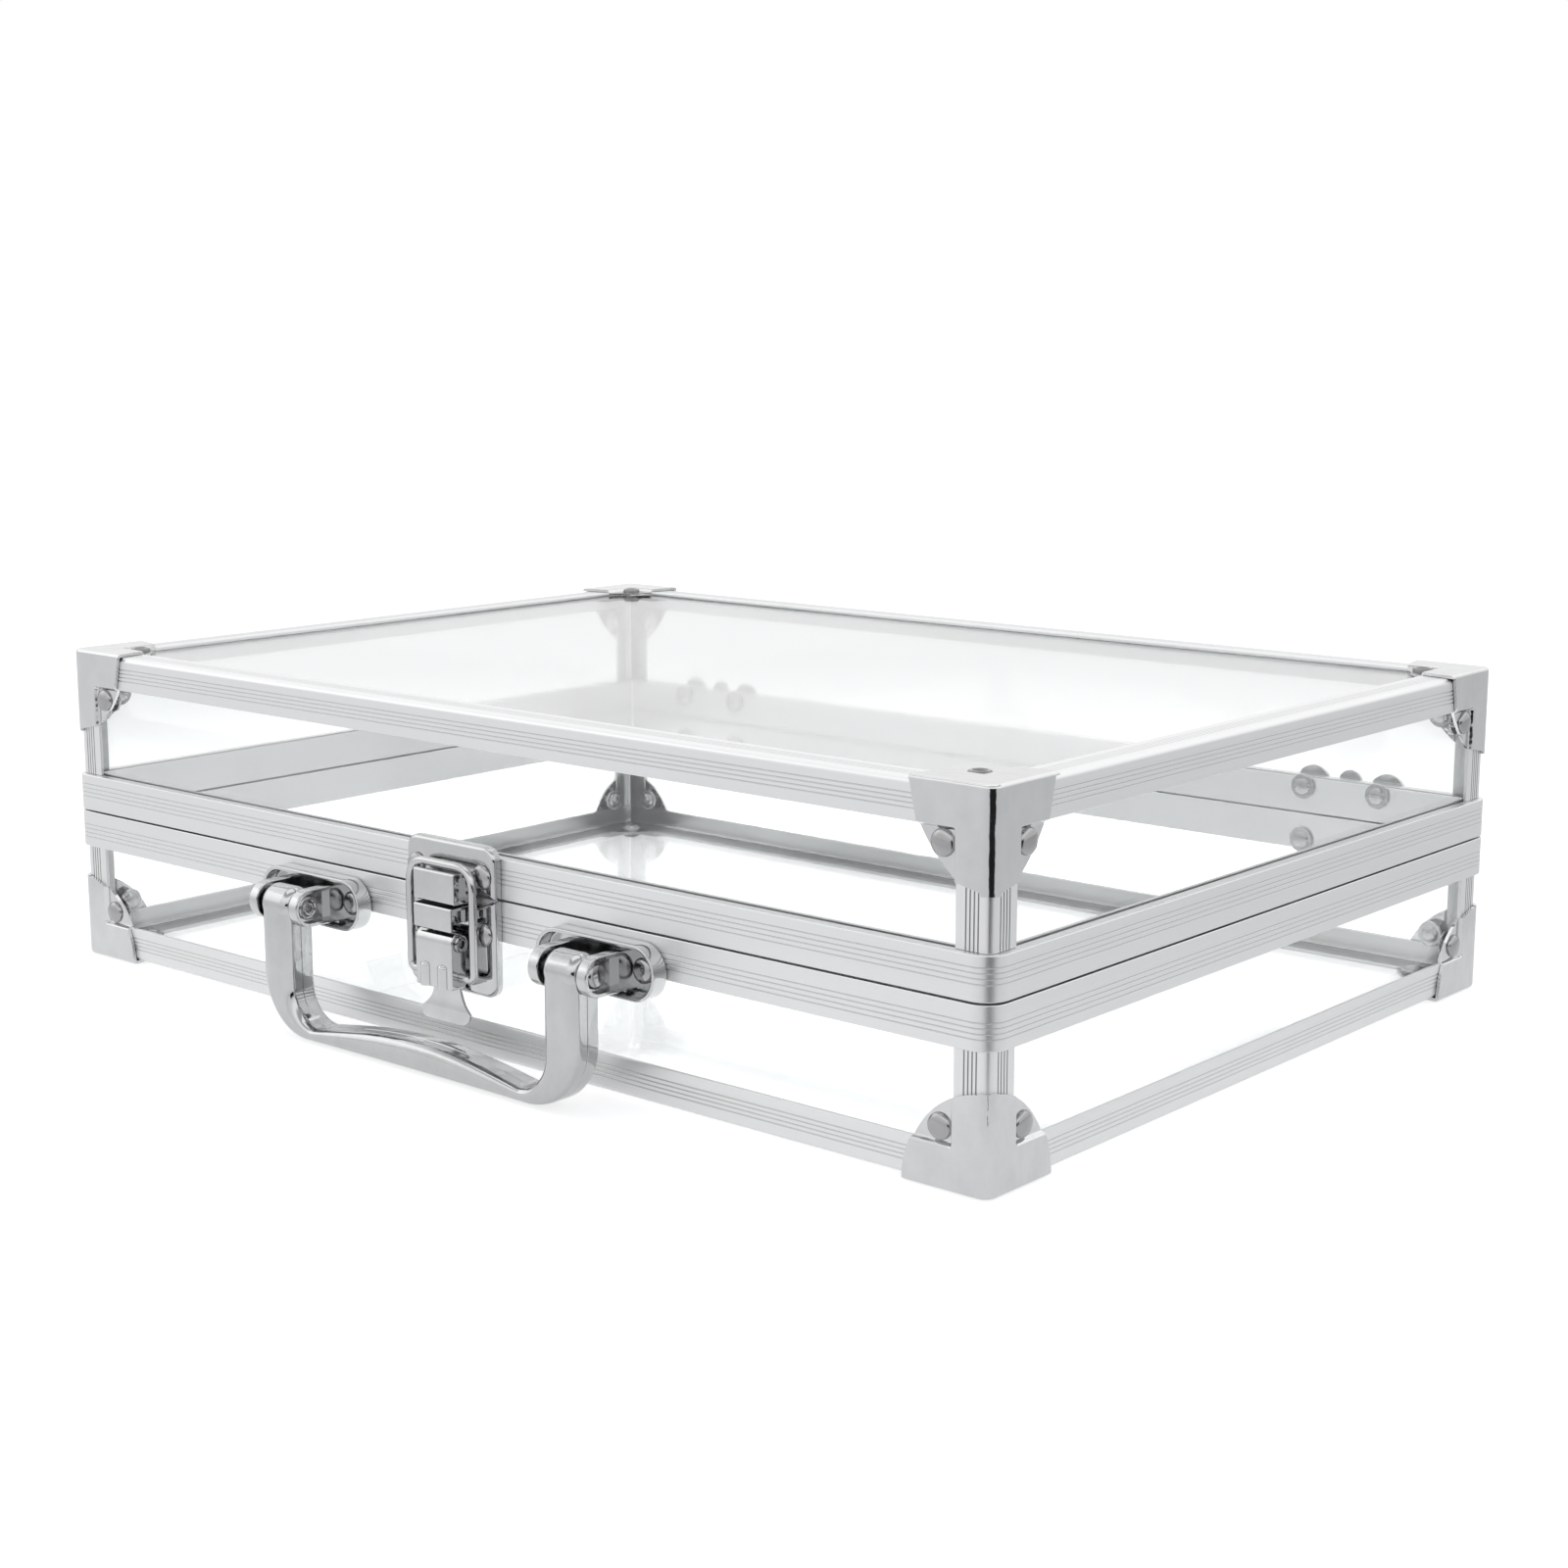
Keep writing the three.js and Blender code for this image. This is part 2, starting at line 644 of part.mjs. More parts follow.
// One wall of a guard: a plate over the angles that steps down to the pane in its inner corner.
// The outline lies in the first two directions, and the wall is thick along the third.
function guardWall(outline, first, second, third) {
  const wallDepth = guardStandoff + paneInset - fit;
  const pocketDepth = wallDepth - guardThickness;
  const far = topGuardDrop + bottomGuardRadius;
  const place = (geometry) => solid(oriented(geometry, first, second, third));
  const block = (x0, y0, z0, z1) => {
    const box = new THREE.BoxGeometry(far - x0, far - y0, z1 - z0);
    return place(box.translate((x0 + far) / 2, (y0 + far) / 2, (z0 + z1) / 2));
  };
  const blank = place(
    new THREE.ExtrudeGeometry(outline, { depth: wallDepth, bevelEnabled: false, curveSegments: 4 }),
  );
  const step = block(guardStepStart, guardStepStart, -cutPast, wallDepth + cutPast);
  const overAngles = block(-cutPast, -cutPast, guardThickness, wallDepth + cutPast).subtract(step);
  const pocket = block(guardFloorStart, guardFloorStart, -cutPast, pocketDepth);
  return without(blank, [overAngles, pocket]);
}

// The upright bend that carries one side wall round into the other
function guardBend(drop) {
  const outer = cornerRadius + guardStandoff;
  const quarter = new THREE.Shape();
  quarter.moveTo(0, outer);
  quarter.absarc(outer, outer, outer, Math.PI, 1.5 * Math.PI);
  quarter.lineTo(outer, guardThickness);
  quarter.absarc(outer, outer, outer - guardThickness, 1.5 * Math.PI, Math.PI, true);
  return solid(
    new THREE.ExtrudeGeometry(quarter, { depth: drop, bevelEnabled: false, curveSegments: 2 }),
  );
}

// A guard with its three rivets: the one in the outer face is tubular, flared and open outward
function guardBody(outline, drop) {
  const walls = [
    guardWall(outline, X, Z, Y),
    guardWall(outline, Y, Z, X),
    guardWall(outline, X, Y, Z),
    guardBend(drop),
  ];
  const far = topGuardDrop + bottomGuardRadius;
  const envelope = new THREE.ExtrudeGeometry(
    roundedRect(0, far, 0, far, cornerRadius + guardStandoff),
    {
      depth: far - 2 * guardEdgeRadius,
      bevelThickness: guardEdgeRadius,
      bevelSize: guardEdgeRadius,
      bevelOffset: -guardEdgeRadius,
      bevelSegments: 2,
      curveSegments: 2,
    },
  ).translate(0, 0, guardEdgeRadius);
  const shell = joined(walls).intersect(solid(envelope));
  const seat = guardStandoff + paneInset - fit - guardThickness;
  const grip = guardThickness + fit + paneThickness + fit;
  const at = guardRivetInset;
  const domed = [rivetBody(grip, [at, seat, at], Y), rivetBody(grip, [seat, at, at], X)];
  const rim = seat - tubeRivetHeight;
  const tube = rivetBody(grip, [at, at, seat], Z, flaredHead).subtract(
    bar("z", rim - cutPast, rim + tubeRivetDepth, [at, at], tubeRivetBore, rivetSides),
  );
  return joined([shell, ...domed, tube]);
}

// Each corner has the same guard, mirrored to face it
function buildGuards(half, outline, drop) {
  const guard = guardBody(outline, drop);
  for (const [sx, sy] of corners) {
    const mesh = addMesh(`${half.name}_${cornerName(sx, sy)}_guard`, guard, chrome);
    const z = half.outerFace + half.outward * guardStandoff;
    mesh.position.set(sx * (halfLength + guardStandoff), sy * (halfWidth + guardStandoff), z);
    mesh.scale.set(-sx, -sy, -half.outward);
  }
}

// Hinges at the back: two leaves whose knuckles share a pin
const leafFront = bandBack + fit;
const leafBack = leafFront + hingeLeafThickness;
const knuckleInner = knuckleLength / 2;
const knuckleOuter = knuckleInner + knuckleGap + knuckleLength;

function hingeLeaf(half, center) {
  const out = half.outward;
  const near = seamHeight + out * knuckleGap;
  const rivetZ = seamHeight + out * hingeRivetRise;
  const peak = [center, seamHeight + out * hingePeakRise];
  const reach = hingeLobeSpacing / 2 + hingeLobeRadius;
  const plate = joined([
    span(center - reach, center + reach, leafFront, leafBack, near, rivetZ),
    ...pairAbout(center, hingeLobeSpacing).map((x) =>
      bar("y", leafFront, leafBack, [x, rivetZ], hingeLobeRadius, wideSides),
    ),
    bar("y", leafFront, leafBack, peak, hingePeakRadius),
  ]);
  const axis = [hingeAxisY, seamHeight];
  const knuckleStart = knuckleInner + knuckleGap;
  const middleKnuckle = [[-knuckleInner, knuckleInner]];
  const outerKnuckles = [[-knuckleOuter, -knuckleStart], [knuckleStart, knuckleOuter]];
  const along = (radius) =>
    bar("x", center - knuckleOuter - cutPast, center + knuckleOuter + cutPast, axis, radius);
  const knuckles = (half === lid ? middleKnuckle : outerKnuckles).flatMap(([from, to]) => [
    bar("x", center + from, center + to, axis, knuckleRadius),
    span(center + from, center + to, leafFront, hingeAxisY, near, seamHeight + out * knuckleRadius),
  ]);
  const leaf = joined([plate.subtract(along(knuckleRadius + knuckleGap)), ...knuckles]);
  return leaf.subtract(along(boreRadius(hingePinRadius)));
}

function buildHinges() {
  for (const [side, name] of sides) {
    const center = side * hingeOffset;
    for (const half of [lid, base]) {
      const rivets = hingeRivets[half.name].filter((rivet) => Math.sign(rivet.x) === side);
      const bodies = rivets.map((rivet) => bandRivetBody(rivet, leafBack));
      const leaf = joined([hingeLeaf(half, center), ...bodies]);
      addMesh(`${name}_hinge_${half.name}_leaf`, leaf, chrome);
    }
    const reach = knuckleOuter + fit;
    const axis = [hingeAxisY, seamHeight];
    const pin = bar("x", center - reach, center + reach, axis, hingePinRadius);
    addMesh(`${name}_hinge_pin`, pin, steel);
  }
}

// Latch
const latchPlateMiddle = latchFaceY + latchPlateThickness / 2;

// A pressed plate with its rim turned back to the band
function latchTray(bottom, top) {
  const half = latchWidth / 2;
  const back = bandFront - fit;
  const rim = roundedRect(-half, half, bottom, top, latchCornerRadius);
  const pocket = roundedRect(
    -half + latchPlateThickness,
    half - latchPlateThickness,
    bottom + latchPlateThickness,
    top - latchPlateThickness,
    latchCornerRadius - latchPlateThickness,
  );
  const hollow = frontPlate(pocket, latchFaceY + latchPlateThickness, back + cutPast);
  return frontPlate(rim, latchFaceY, back).subtract(hollow);
}

const trayRivetHole = rivetHole(latchFaceY - cutPast, bandFront + cutPast);

function buildKeeper() {
  const bottom = seamHeight + latchSeamGap / 2;
  const half = hookWidth / 2;
  const noseBack = latchFaceY - hookNoseGap;
  const lipBack = hookFrontY + hookLipThickness;
  const body = joined([
    latchTray(bottom, seamHeight + keeperRise),
    span(-half, half, hookFrontY, latchPlateMiddle, bottom, hookTop),
    span(-half, half, hookFrontY, noseBack, hookBottom, hookTop),
    span(-half, half, hookFrontY, lipBack, bottom, hookTop + hookLip),
  ]);
  addMesh("latch_keeper", without(body, latchRivets.lid.map(trayRivetHole)), chrome);
}

// The latch plate carries a housing under the hook and two lugs for the lever's pin
function buildLatchPlate() {
  const top = seamHeight - latchSeamGap / 2;
  const half = housingWidth / 2;
  const housing = span(-half, half, housingFrontY, latchPlateMiddle, housingBottom, housingTop);
  const lipBack = housingFrontY + housingSheet;
  const lip = span(-half, half, housingFrontY, lipBack, housingBottom - housingLip, housingTop);
  const axis = [leverPinY, leverPinHeight];
  const lugOuter = leverWidth / 2 - leverSheet - lugGap;
  const lugInner = lugOuter - lugThickness;
  const lugBottom = leverPinHeight - lugRadius;
  const webTop = leverPinHeight + lugWebRise;
  const lugs = sides.flatMap(([side]) => [
    bar("x", side * lugInner, side * lugOuter, axis, lugRadius),
    span(side * lugInner, side * lugOuter, leverPinY, latchPlateMiddle, lugBottom, webTop),
  ]);
  const bore = bar("x", -half, half, axis, boreRadius(leverPinRadius));
  const body = joined([latchTray(seamHeight - latchPlateDrop, top), housing, lip, ...lugs]);
  addMesh("latch_plate", without(body, [bore, ...latchRivets.base.map(trayRivetHole)]), chrome);
}

// The angle at which the rolled top of the lever ends, seen from the right, with 180 in front
const leverTopEnd = ((180 - leverTopTurn) * Math.PI) / 180;

// The front sheet of the lever, with its top rolled round the pin so that it turns clear
function leverSheetOutline() {
  const inside = leverTopRadius - leverSheet;
  const sheet = new THREE.Shape();
  sheet.moveTo(leverFrontY + leverSheet, leverBottom);
  sheet.lineTo(leverFrontY + leverSheet, leverPinHeight);
  sheet.absarc(leverPinY, leverPinHeight, inside, Math.PI, leverTopEnd, true);
  sheet.absarc(leverPinY, leverPinHeight, leverTopRadius, leverTopEnd, Math.PI);
  sheet.lineTo(leverFrontY, leverBottom);
  return sheet;
}

// The side of the lever, turned back from its front sheet
function leverFlange() {
  const backY = leverPinY + leverFlangeBack;
  const flange = new THREE.Shape();
  flange.moveTo(leverFrontY, leverBottom);
  flange.lineTo(backY - leverFlangeCorner, leverBottom);
  flange.lineTo(backY, leverBottom + leverFlangeCorner);
  flange.lineTo(backY, leverPinHeight);
  flange.absarc(leverPinY, leverPinHeight, leverFlangeBack, 0, Math.PI / 2);
  flange.absarc(leverPinY, leverPinHeight, leverTopRadius, leverTopEnd, Math.PI);
  return flange;
}

// Under the lever a shelf runs back, and the scooped thumb tongue hangs from it
function thumbTongue() {
  const top = leverBottom + leverSheet;
  const bottom = leverBottom - tongueDrop;
  const middle = (top + bottom) / 2;
  const topY = leverPinY + tongueSetback;
  const endY = leverPinY - tongueKick;
  const scoopY = (topY + endY) / 2 + 2 * tongueScoop;
  const profile = new THREE.Shape();
  profile.moveTo(topY, top);
  profile.quadraticCurveTo(scoopY, middle, endY, bottom);
  profile.lineTo(endY + leverSheet, bottom);
  profile.quadraticCurveTo(scoopY + leverSheet, middle, topY + leverSheet, top);
  const half = tongueWidth / 2;
  const endHalf = half + tongueFlare;
  const face = new THREE.Shape();
  face.moveTo(-half, top);
  face.quadraticCurveTo(-half, middle, -endHalf, bottom + tongueCorner);
  face.quadraticCurveTo(-endHalf, bottom, -endHalf + tongueCorner, bottom);
  face.lineTo(endHalf - tongueCorner, bottom);
  face.quadraticCurveTo(endHalf, bottom, endHalf, bottom + tongueCorner);
  face.quadraticCurveTo(half, middle, half, top);
  const curl = sidePlate(profile, -endHalf, endHalf, 4);
  const tongue = curl.intersect(frontPlate(face, leverFrontY, latchFaceY, 3));
  const side = leverWidth / 2;
  const shelf = span(-side, side, leverFrontY, topY + leverSheet, leverBottom, top);
  return tongue.add(shelf);
}

// The lever: a front sheet with a rolled top, two flanges, two pressed ribs and the tongue
function buildLever() {
  const half = leverWidth / 2;
  const sheetBack = leverFrontY + leverSheet;
  const front = sidePlate(leverSheetOutline(), -half, half, 3);
  const flanges = sides.map(([side]) =>
    sidePlate(leverFlange(), side * half, side * (half - leverSheet), 3),
  );
  const ribTop = leverBottom + leverRibHeight;
  const behind = span(-half, half, sheetBack, leverPinY, leverBottom - cutPast, ribTop + cutPast);
  const ribs = pairAbout(0, leverRibSpacing).map((x) =>
    bar("z", leverBottom, ribTop, [x, sheetBack], leverRibRadius, rivetSides).subtract(behind),
  );
  const across = (height, radius) =>
    bar("x", -half - cutPast, half + cutPast, [leverPinY, height], radius);
  const pinBore = across(leverPinHeight, boreRadius(leverPinRadius));
  const bailBore = across(bailPivotHeight, boreRadius(bailRadius));
  const body = joined([front, ...flanges, ...ribs, thumbTongue()]);
  addMesh("latch_lever", without(body, [pinBore, bailBore]), chrome);
}

function buildLeverPin() {
  const axis = [leverPinY, leverPinHeight];
  const headStart = leverWidth / 2 + fit;
  const headEnd = headStart + leverPinHead;
  const heads = sides.map(([side]) =>
    bar("x", side * headStart, side * headEnd, axis, leverPinHeadRadius),
  );
  const pin = joined([bar("x", -headEnd, headEnd, axis, leverPinRadius), ...heads]);
  addMesh("latch_lever_pin", pin, steel);
}

// The bail: one wire from flange to flange, up both sides and over the hook
function buildBail() {
  const half = bailWidth / 2;
  const end = leverWidth / 2 - leverSheet - bailEndInset;
  const low = bailPivotHeight;
  const foot = bailFootRadius;
  const corner = bailCornerRadius;
  const at = (x, z) => new THREE.Vector3(x, leverPinY, z);
  const path = new THREE.CurvePath();
  const line = (from, to) => path.add(new THREE.LineCurve3(from, to));
  const bend = (from, over, to) => path.add(new THREE.QuadraticBezierCurve3(from, over, to));
  line(at(-end, low), at(-half + foot, low));
  bend(at(-half + foot, low), at(-half, low), at(-half, low + foot));
  line(at(-half, low + foot), at(-half, bailTop - corner));
  bend(at(-half, bailTop - corner), at(-half, bailTop), at(-half + corner, bailTop));
  line(at(-half + corner, bailTop), at(half - corner, bailTop));
  bend(at(half - corner, bailTop), at(half, bailTop), at(half, bailTop - corner));
  line(at(half, bailTop - corner), at(half, low + foot));
  bend(at(half, low + foot), at(half, low), at(half - foot, low));
  line(at(half - foot, low), at(end, low));
  const section = new THREE.Shape();
  section.absarc(0, 0, bailRadius, 0, 2 * Math.PI);
  const wire = new THREE.ExtrudeGeometry(section, {
    steps: bailSteps,
    extrudePath: path,
    curveSegments: bailSides / 2,
  });
  addMesh("latch_bail", solid(wire), steel);
}

function buildLatchRivets() {
  for (const half of [lid, base]) {
    for (const rivet of latchRivets[half.name]) {
      const name = `latch_${half.name}_${rivet.x < 0 ? "left" : "right"}_rivet`;
      addMesh(name, bandRivetBody(rivet, latchFaceY - fit), chrome);
    }
  }
}

// Handle: a bar between an outer and an inner curve, with two rounded edges in front
// Matching points on the outer and inner curves, from the left pin down and round to the middle
function handleEdges() {
  const outerX = -(handleSpan + handleLegWidth) / 2;
  const innerX = -(handleSpan - handleLegWidth) / 2;
  const gripTop = handleBottom + gripEndThickness;
  const outerCenter = [outerX + handleOuterRadius, handleBottom + handleOuterRadius];
  const innerCenter = [innerX + handleInnerRadius, gripTop + handleInnerRadius];
  const stations = [[[outerX, handlePinHeight], [innerX, handlePinHeight]]];
  for (let i = 0; i <= handleArcSteps; i++) {
    const angle = Math.PI + ((Math.PI / 2) * i) / handleArcSteps;
    const on = ([x, z], r) => [x + r * Math.cos(angle), z + r * Math.sin(angle)];
    stations.push([on(outerCenter, handleOuterRadius), on(innerCenter, handleInnerRadius)]);
  }
  for (let i = 1; i <= handleGripSteps; i++) {
    const share = i / handleGripSteps;
    const swell = (gripMiddleThickness - gripEndThickness) * Math.sin((Math.PI / 2) * share);
    stations.push([
      [outerCenter[0] * (1 - share), handleBottom],
      [innerCenter[0] * (1 - share), gripTop + swell],
    ]);
  }
  return stations;
}

// Points of the section as [share of the width from the outer curve, y]
function handleSection() {
  const front = handlePinY - handleEyeRadius;
  const back = front + handleDepth;
  const corner = handleBackChamfer / handleLegWidth;
  const outer = [[corner, back], [0, back - handleBackChamfer]];
  for (let i = 0; i <= handleEdgeSteps; i++) {
    const angle = ((Math.PI / 2) * i) / handleEdgeSteps;
    const share = (handleFrontRadius * (1 - Math.cos(angle))) / handleLegWidth;
    outer.push([share, front + handleFrontRadius * (1 - Math.sin(angle))]);
  }
  const inner = outer.map(([share, y]) => [1 - share, y]).reverse();
  return [...outer, ...inner];
}

// The section carried through every station, closed at both ends
function handleLoft() {
  const left = handleEdges();
  const mirrored = left.slice(0, -1).reverse();
  const right = mirrored.map((edges) => edges.map(([x, z]) => [-x, z]));
  const stations = [...left, ...right];
  const section = handleSection();
  const positions = [];
  for (const [[outerX, outerZ], [innerX, innerZ]] of stations) {
    for (const [share, y] of section) {
      positions.push(outerX + (innerX - outerX) * share, y, outerZ + (innerZ - outerZ) * share);
    }
  }
  const around = section.length;
  const index = [];
  for (let i = 0; i + 1 < stations.length; i++) {
    for (let j = 0; j < around; j++) {
      const [a, b] = [i * around + j, i * around + ((j + 1) % around)];
      index.push(a, b, b + around, a, b + around, a + around);
    }
  }
  const last = (stations.length - 1) * around;
  for (let j = 1; j + 1 < around; j++) {
    index.push(0, j + 1, j, last, last + j, last + j + 1);
  }
  const loft = new THREE.BufferGeometry();
  loft.setAttribute("position", new THREE.Float32BufferAttribute(positions, 3));
  loft.setIndex(index);
  return solid(loft);
}

function buildHandle() {
  const axis = [handlePinY, handlePinHeight];
  const eyes = pairAbout(0, handleSpan).map((middle) => {
    const [start, end] = pairAbout(middle, handleLegWidth);
    return bar("x", start, end, axis, handleEyeRadius, wideSides);
  });
  const reach = (handleSpan + handleLegWidth) / 2 + cutPast;
  const bore = bar("x", -reach, reach, axis, boreRadius(handlePinRadius));
  addMesh("handle", joined([handleLoft(), ...eyes]).subtract(bore), chrome);
}

// Handle brackets and their pins. Each is measured from the middle of its leg.
const bracketBack = bandFront - fit;
const bracketFront = bracketBack - bracketDepth;
const earStart = handleLegWidth / 2 + earGap;
const earEnd = earStart + earThickness;

// The cup's outline, grown or shrunk all round
function cupOutline(middle, inset) {
  const half = bracketWidth / 2 - inset;
  return obround(middle - half, middle + half, handlePinHeight, bracketHeight / 2 - inset);
}

function earOutline(startY, inset) {
  const outline = new THREE.Shape();
  const radius = earRadius - inset;
  outline.moveTo(startY, handlePinHeight + radius);
  outline.lineTo(handlePinY, handlePinHeight + radius);
  outline.absarc(handlePinY, handlePinHeight, radius, Math.PI / 2, 1.5 * Math.PI);
  outline.lineTo(startY, handlePinHeight - radius);
  return outline;
}

// An ear with a dished outer face, on the left or right of its leg
function bracketEar(middle, hand) {
  const whole = earOutline(bracketBack - bracketSheet / 2, 0);
  const dish = earOutline(bracketFront - earRim, earRim);
  const dishFloor = middle + hand * (earEnd - earDish);
  const body = sidePlate(whole, middle + hand * earStart, middle + hand * earEnd, 4);
  return body.subtract(sidePlate(dish, dishFloor, middle + hand * (earEnd + cutPast), 4));
}

function buildBracket(side, name) {
  const middle = (side * handleSpan) / 2;
  const hollowBack = bracketBack - bracketSheet;
  const outside = frontPlate(cupOutline(middle, 0), bracketFront, bracketBack, 3);
  const hollow = frontPlate(
    cupOutline(middle, bracketSheet),
    bracketFront - cutPast,
    hollowBack,
    3,
  );
  const ears = sides.map(([hand]) => bracketEar(middle, hand));
  const reach = earEnd + cutPast;
  const axis = [handlePinY, handlePinHeight];
  const bore = bar("x", middle - reach, middle + reach, axis, boreRadius(handlePinRadius));
  const rivets = bracketRivets.base.filter((rivet) => Math.sign(rivet.x) === side);
  const holes = rivets.map(rivetHole(bracketFront - cutPast, bracketBack + cutPast));
  const body = joined([outside.subtract(hollow), ...ears]);
  addMesh(`${name}_handle_bracket`, without(body, [bore, ...holes]), chrome);
  for (const rivet of rivets) {
    const which = rivet.x < middle ? "left" : "right";
    addMesh(`${name}_bracket_${which}_rivet`, bandRivetBody(rivet, hollowBack - fit), chrome);
  }
}

function buildHandlePin(side, name) {
  const middle = (side * handleSpan) / 2;
  const axis = [handlePinY, handlePinHeight];
  const seat = earEnd - earDish + fit;
  const headEnd = seat + handlePinHead;
  const heads = sides.map(([hand]) =>
    bar("x", middle + hand * seat, middle + hand * headEnd, axis, handlePinHeadRadius),
  );
  const shank = bar("x", middle - headEnd, middle + headEnd, axis, handlePinRadius);
  addMesh(`${name}_handle_pin`, joined([shank, ...heads]), steel);
}

for (const half of [base, lid]) {
  buildPanes(half);
  buildAngles(half);
  buildBand(half);
}
buildGuards(base, bottomGuardOutline(), bottomGuardRadius);
buildGuards(lid, topGuardOutline(), topGuardDrop);
buildHinges();
buildKeeper();
buildLatchPlate();
buildLever();
buildLeverPin();
buildBail();
buildLatchRivets();
buildHandle();
for (const [side, name] of sides) {
  buildBracket(side, name);
  buildHandlePin(side, name);
}

export default caseGroup;
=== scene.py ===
from math import cos, pi, radians, sin

import bmesh
import bpy
from mathutils import Matrix, Vector


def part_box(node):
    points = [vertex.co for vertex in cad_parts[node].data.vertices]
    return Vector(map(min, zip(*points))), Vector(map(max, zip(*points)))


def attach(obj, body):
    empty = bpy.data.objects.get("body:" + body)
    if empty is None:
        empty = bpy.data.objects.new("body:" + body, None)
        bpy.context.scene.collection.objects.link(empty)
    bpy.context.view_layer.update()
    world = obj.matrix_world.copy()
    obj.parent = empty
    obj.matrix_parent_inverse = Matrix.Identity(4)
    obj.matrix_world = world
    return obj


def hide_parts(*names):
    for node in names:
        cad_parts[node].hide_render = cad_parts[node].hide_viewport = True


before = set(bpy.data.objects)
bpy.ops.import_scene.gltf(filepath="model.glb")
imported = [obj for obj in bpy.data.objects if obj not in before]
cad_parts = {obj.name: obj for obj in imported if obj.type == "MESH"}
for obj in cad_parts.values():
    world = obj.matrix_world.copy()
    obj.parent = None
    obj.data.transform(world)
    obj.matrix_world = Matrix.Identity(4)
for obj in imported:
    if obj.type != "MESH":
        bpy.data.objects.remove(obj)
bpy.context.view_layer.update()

# The studio: a pale floor that fades into a white backdrop, one soft light overhead and a weaker
# one from the left. The room is dark on one side, as a photographer's studio is, and that side
# draws the narrow dark lines on the rounded corners of the metal.
LENS_MM = 58.21
CAMERA_FROM_CASE = (0.51607, -0.59153, 0.20801)
CAMERA_HEADING = 40.638
CAMERA_TILT = 10.697
FLOOR_HALF = 4
FLOOR_SINK = 0.0004
WHITE = (1, 1, 1)
ROOM_LIGHT = (0.96, 0.98, 1)
ROOM_LIGHT_STRENGTH = 0.5
ROOM_DARK = (0.012, 0.012, 0.013)
FLOOR_DARK = (0.02, 0.02, 0.021)
DARK_TOWARD = Vector((0.807, -0.59, 0))
DARK_START = Vector((0.23, -0.17, 0))
DARK_INNER = 0.92
DARK_OUTER = 0.85
LEFT_AND_FRONT = (-0.8, -0.6, 0)
band_low, band_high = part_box("lid_rim_band")
case_middle = Vector((0, (band_low.y + band_high.y) / 2, 0))


def add_object(name, data):
    """A new object in the scene."""
    thing = bpy.data.objects.new(name, data)
    bpy.context.scene.collection.objects.link(thing)
    return thing


lens = bpy.data.cameras.new("camera")
lens.sensor_width = 36
lens.lens = LENS_MM
lens.clip_start = 0.01
lens.clip_end = 50
camera = add_object("camera", lens)
camera.location = Vector(CAMERA_FROM_CASE) + case_middle
camera.rotation_euler = (radians(90 - CAMERA_TILT), 0, radians(CAMERA_HEADING))
bpy.context.scene.camera = camera
bpy.context.scene.view_settings.view_transform = "Standard"


def wire(tree, source, target):
    """Links one socket to another, or sets a plain number, colour or vector on it."""
    if isinstance(source, bpy.types.NodeSocket):
        tree.links.new(source, target)
    elif target.type == "RGBA":
        target.default_value = (*source, 1)
    else:
        target.default_value = source


def add_node(tree, kind, *inputs, **settings):
    """A shader node; inputs go into its sockets in their own order."""
    node = tree.nodes.new("ShaderNode" + kind)
    for setting, value in settings.items():
        setattr(node, setting, value)
    for socket, value in zip(node.inputs, inputs):
        wire(tree, value, socket)
    return node


def arithmetic(tree, operation, first, second):
    """One step of arithmetic between sockets or plain numbers."""
    return add_node(tree, "Math", first, second, operation=operation).outputs[0]


def spread(tree, value, low, high, from_low=0.3, from_high=0.7, curve="LINEAR"):
    """Part of a value's range, by default the middle of a noise's, spread between two others."""
    node = add_node(tree, "MapRange", value, from_low, from_high, low, high,
                    interpolation_type=curve)
    return node.outputs[0]


def between(tree, share, low, high):
    """A colour or a number between two, by share."""
    return add_node(tree, "MixRGB", share, low, high).outputs[0]


def seen_clean(tree):
    """1 for what the camera sees, straight or in metal and glass, and 0 for light on surfaces."""
    path = add_node(tree, "LightPath")
    direct = arithmetic(tree, "MAXIMUM", path.outputs["Is Camera Ray"], path.outputs["Is Glossy Ray"])
    return arithmetic(tree, "MAXIMUM", direct, path.outputs["Is Transmission Ray"])


def seen_in_metal(tree):
    """1 for what a mirror-like surface shows, 0 for what is seen straight or through a pane."""
    path = add_node(tree, "LightPath")
    not_through = arithmetic(tree, "SUBTRACT", 1.0, path.outputs["Is Transmission Ray"])
    return arithmetic(tree, "MULTIPLY", path.outputs["Is Glossy Ray"], not_through)


def dark_side(tree, direction):
    """1 toward the dark side of the studio, 0 elsewhere, whatever the height."""
    flat = add_node(tree, "VectorMath", direction, (1, 1, 0), operation="MULTIPLY")
    heading = add_node(tree, "VectorMath", flat.outputs[0], operation="NORMALIZE")
    facing = add_node(tree, "VectorMath", heading.outputs[0], DARK_TOWARD, operation="DOT_PRODUCT")
    return spread(tree, facing.outputs["Value"], 0, 1, DARK_OUTER, DARK_INNER, "SMOOTHSTEP")


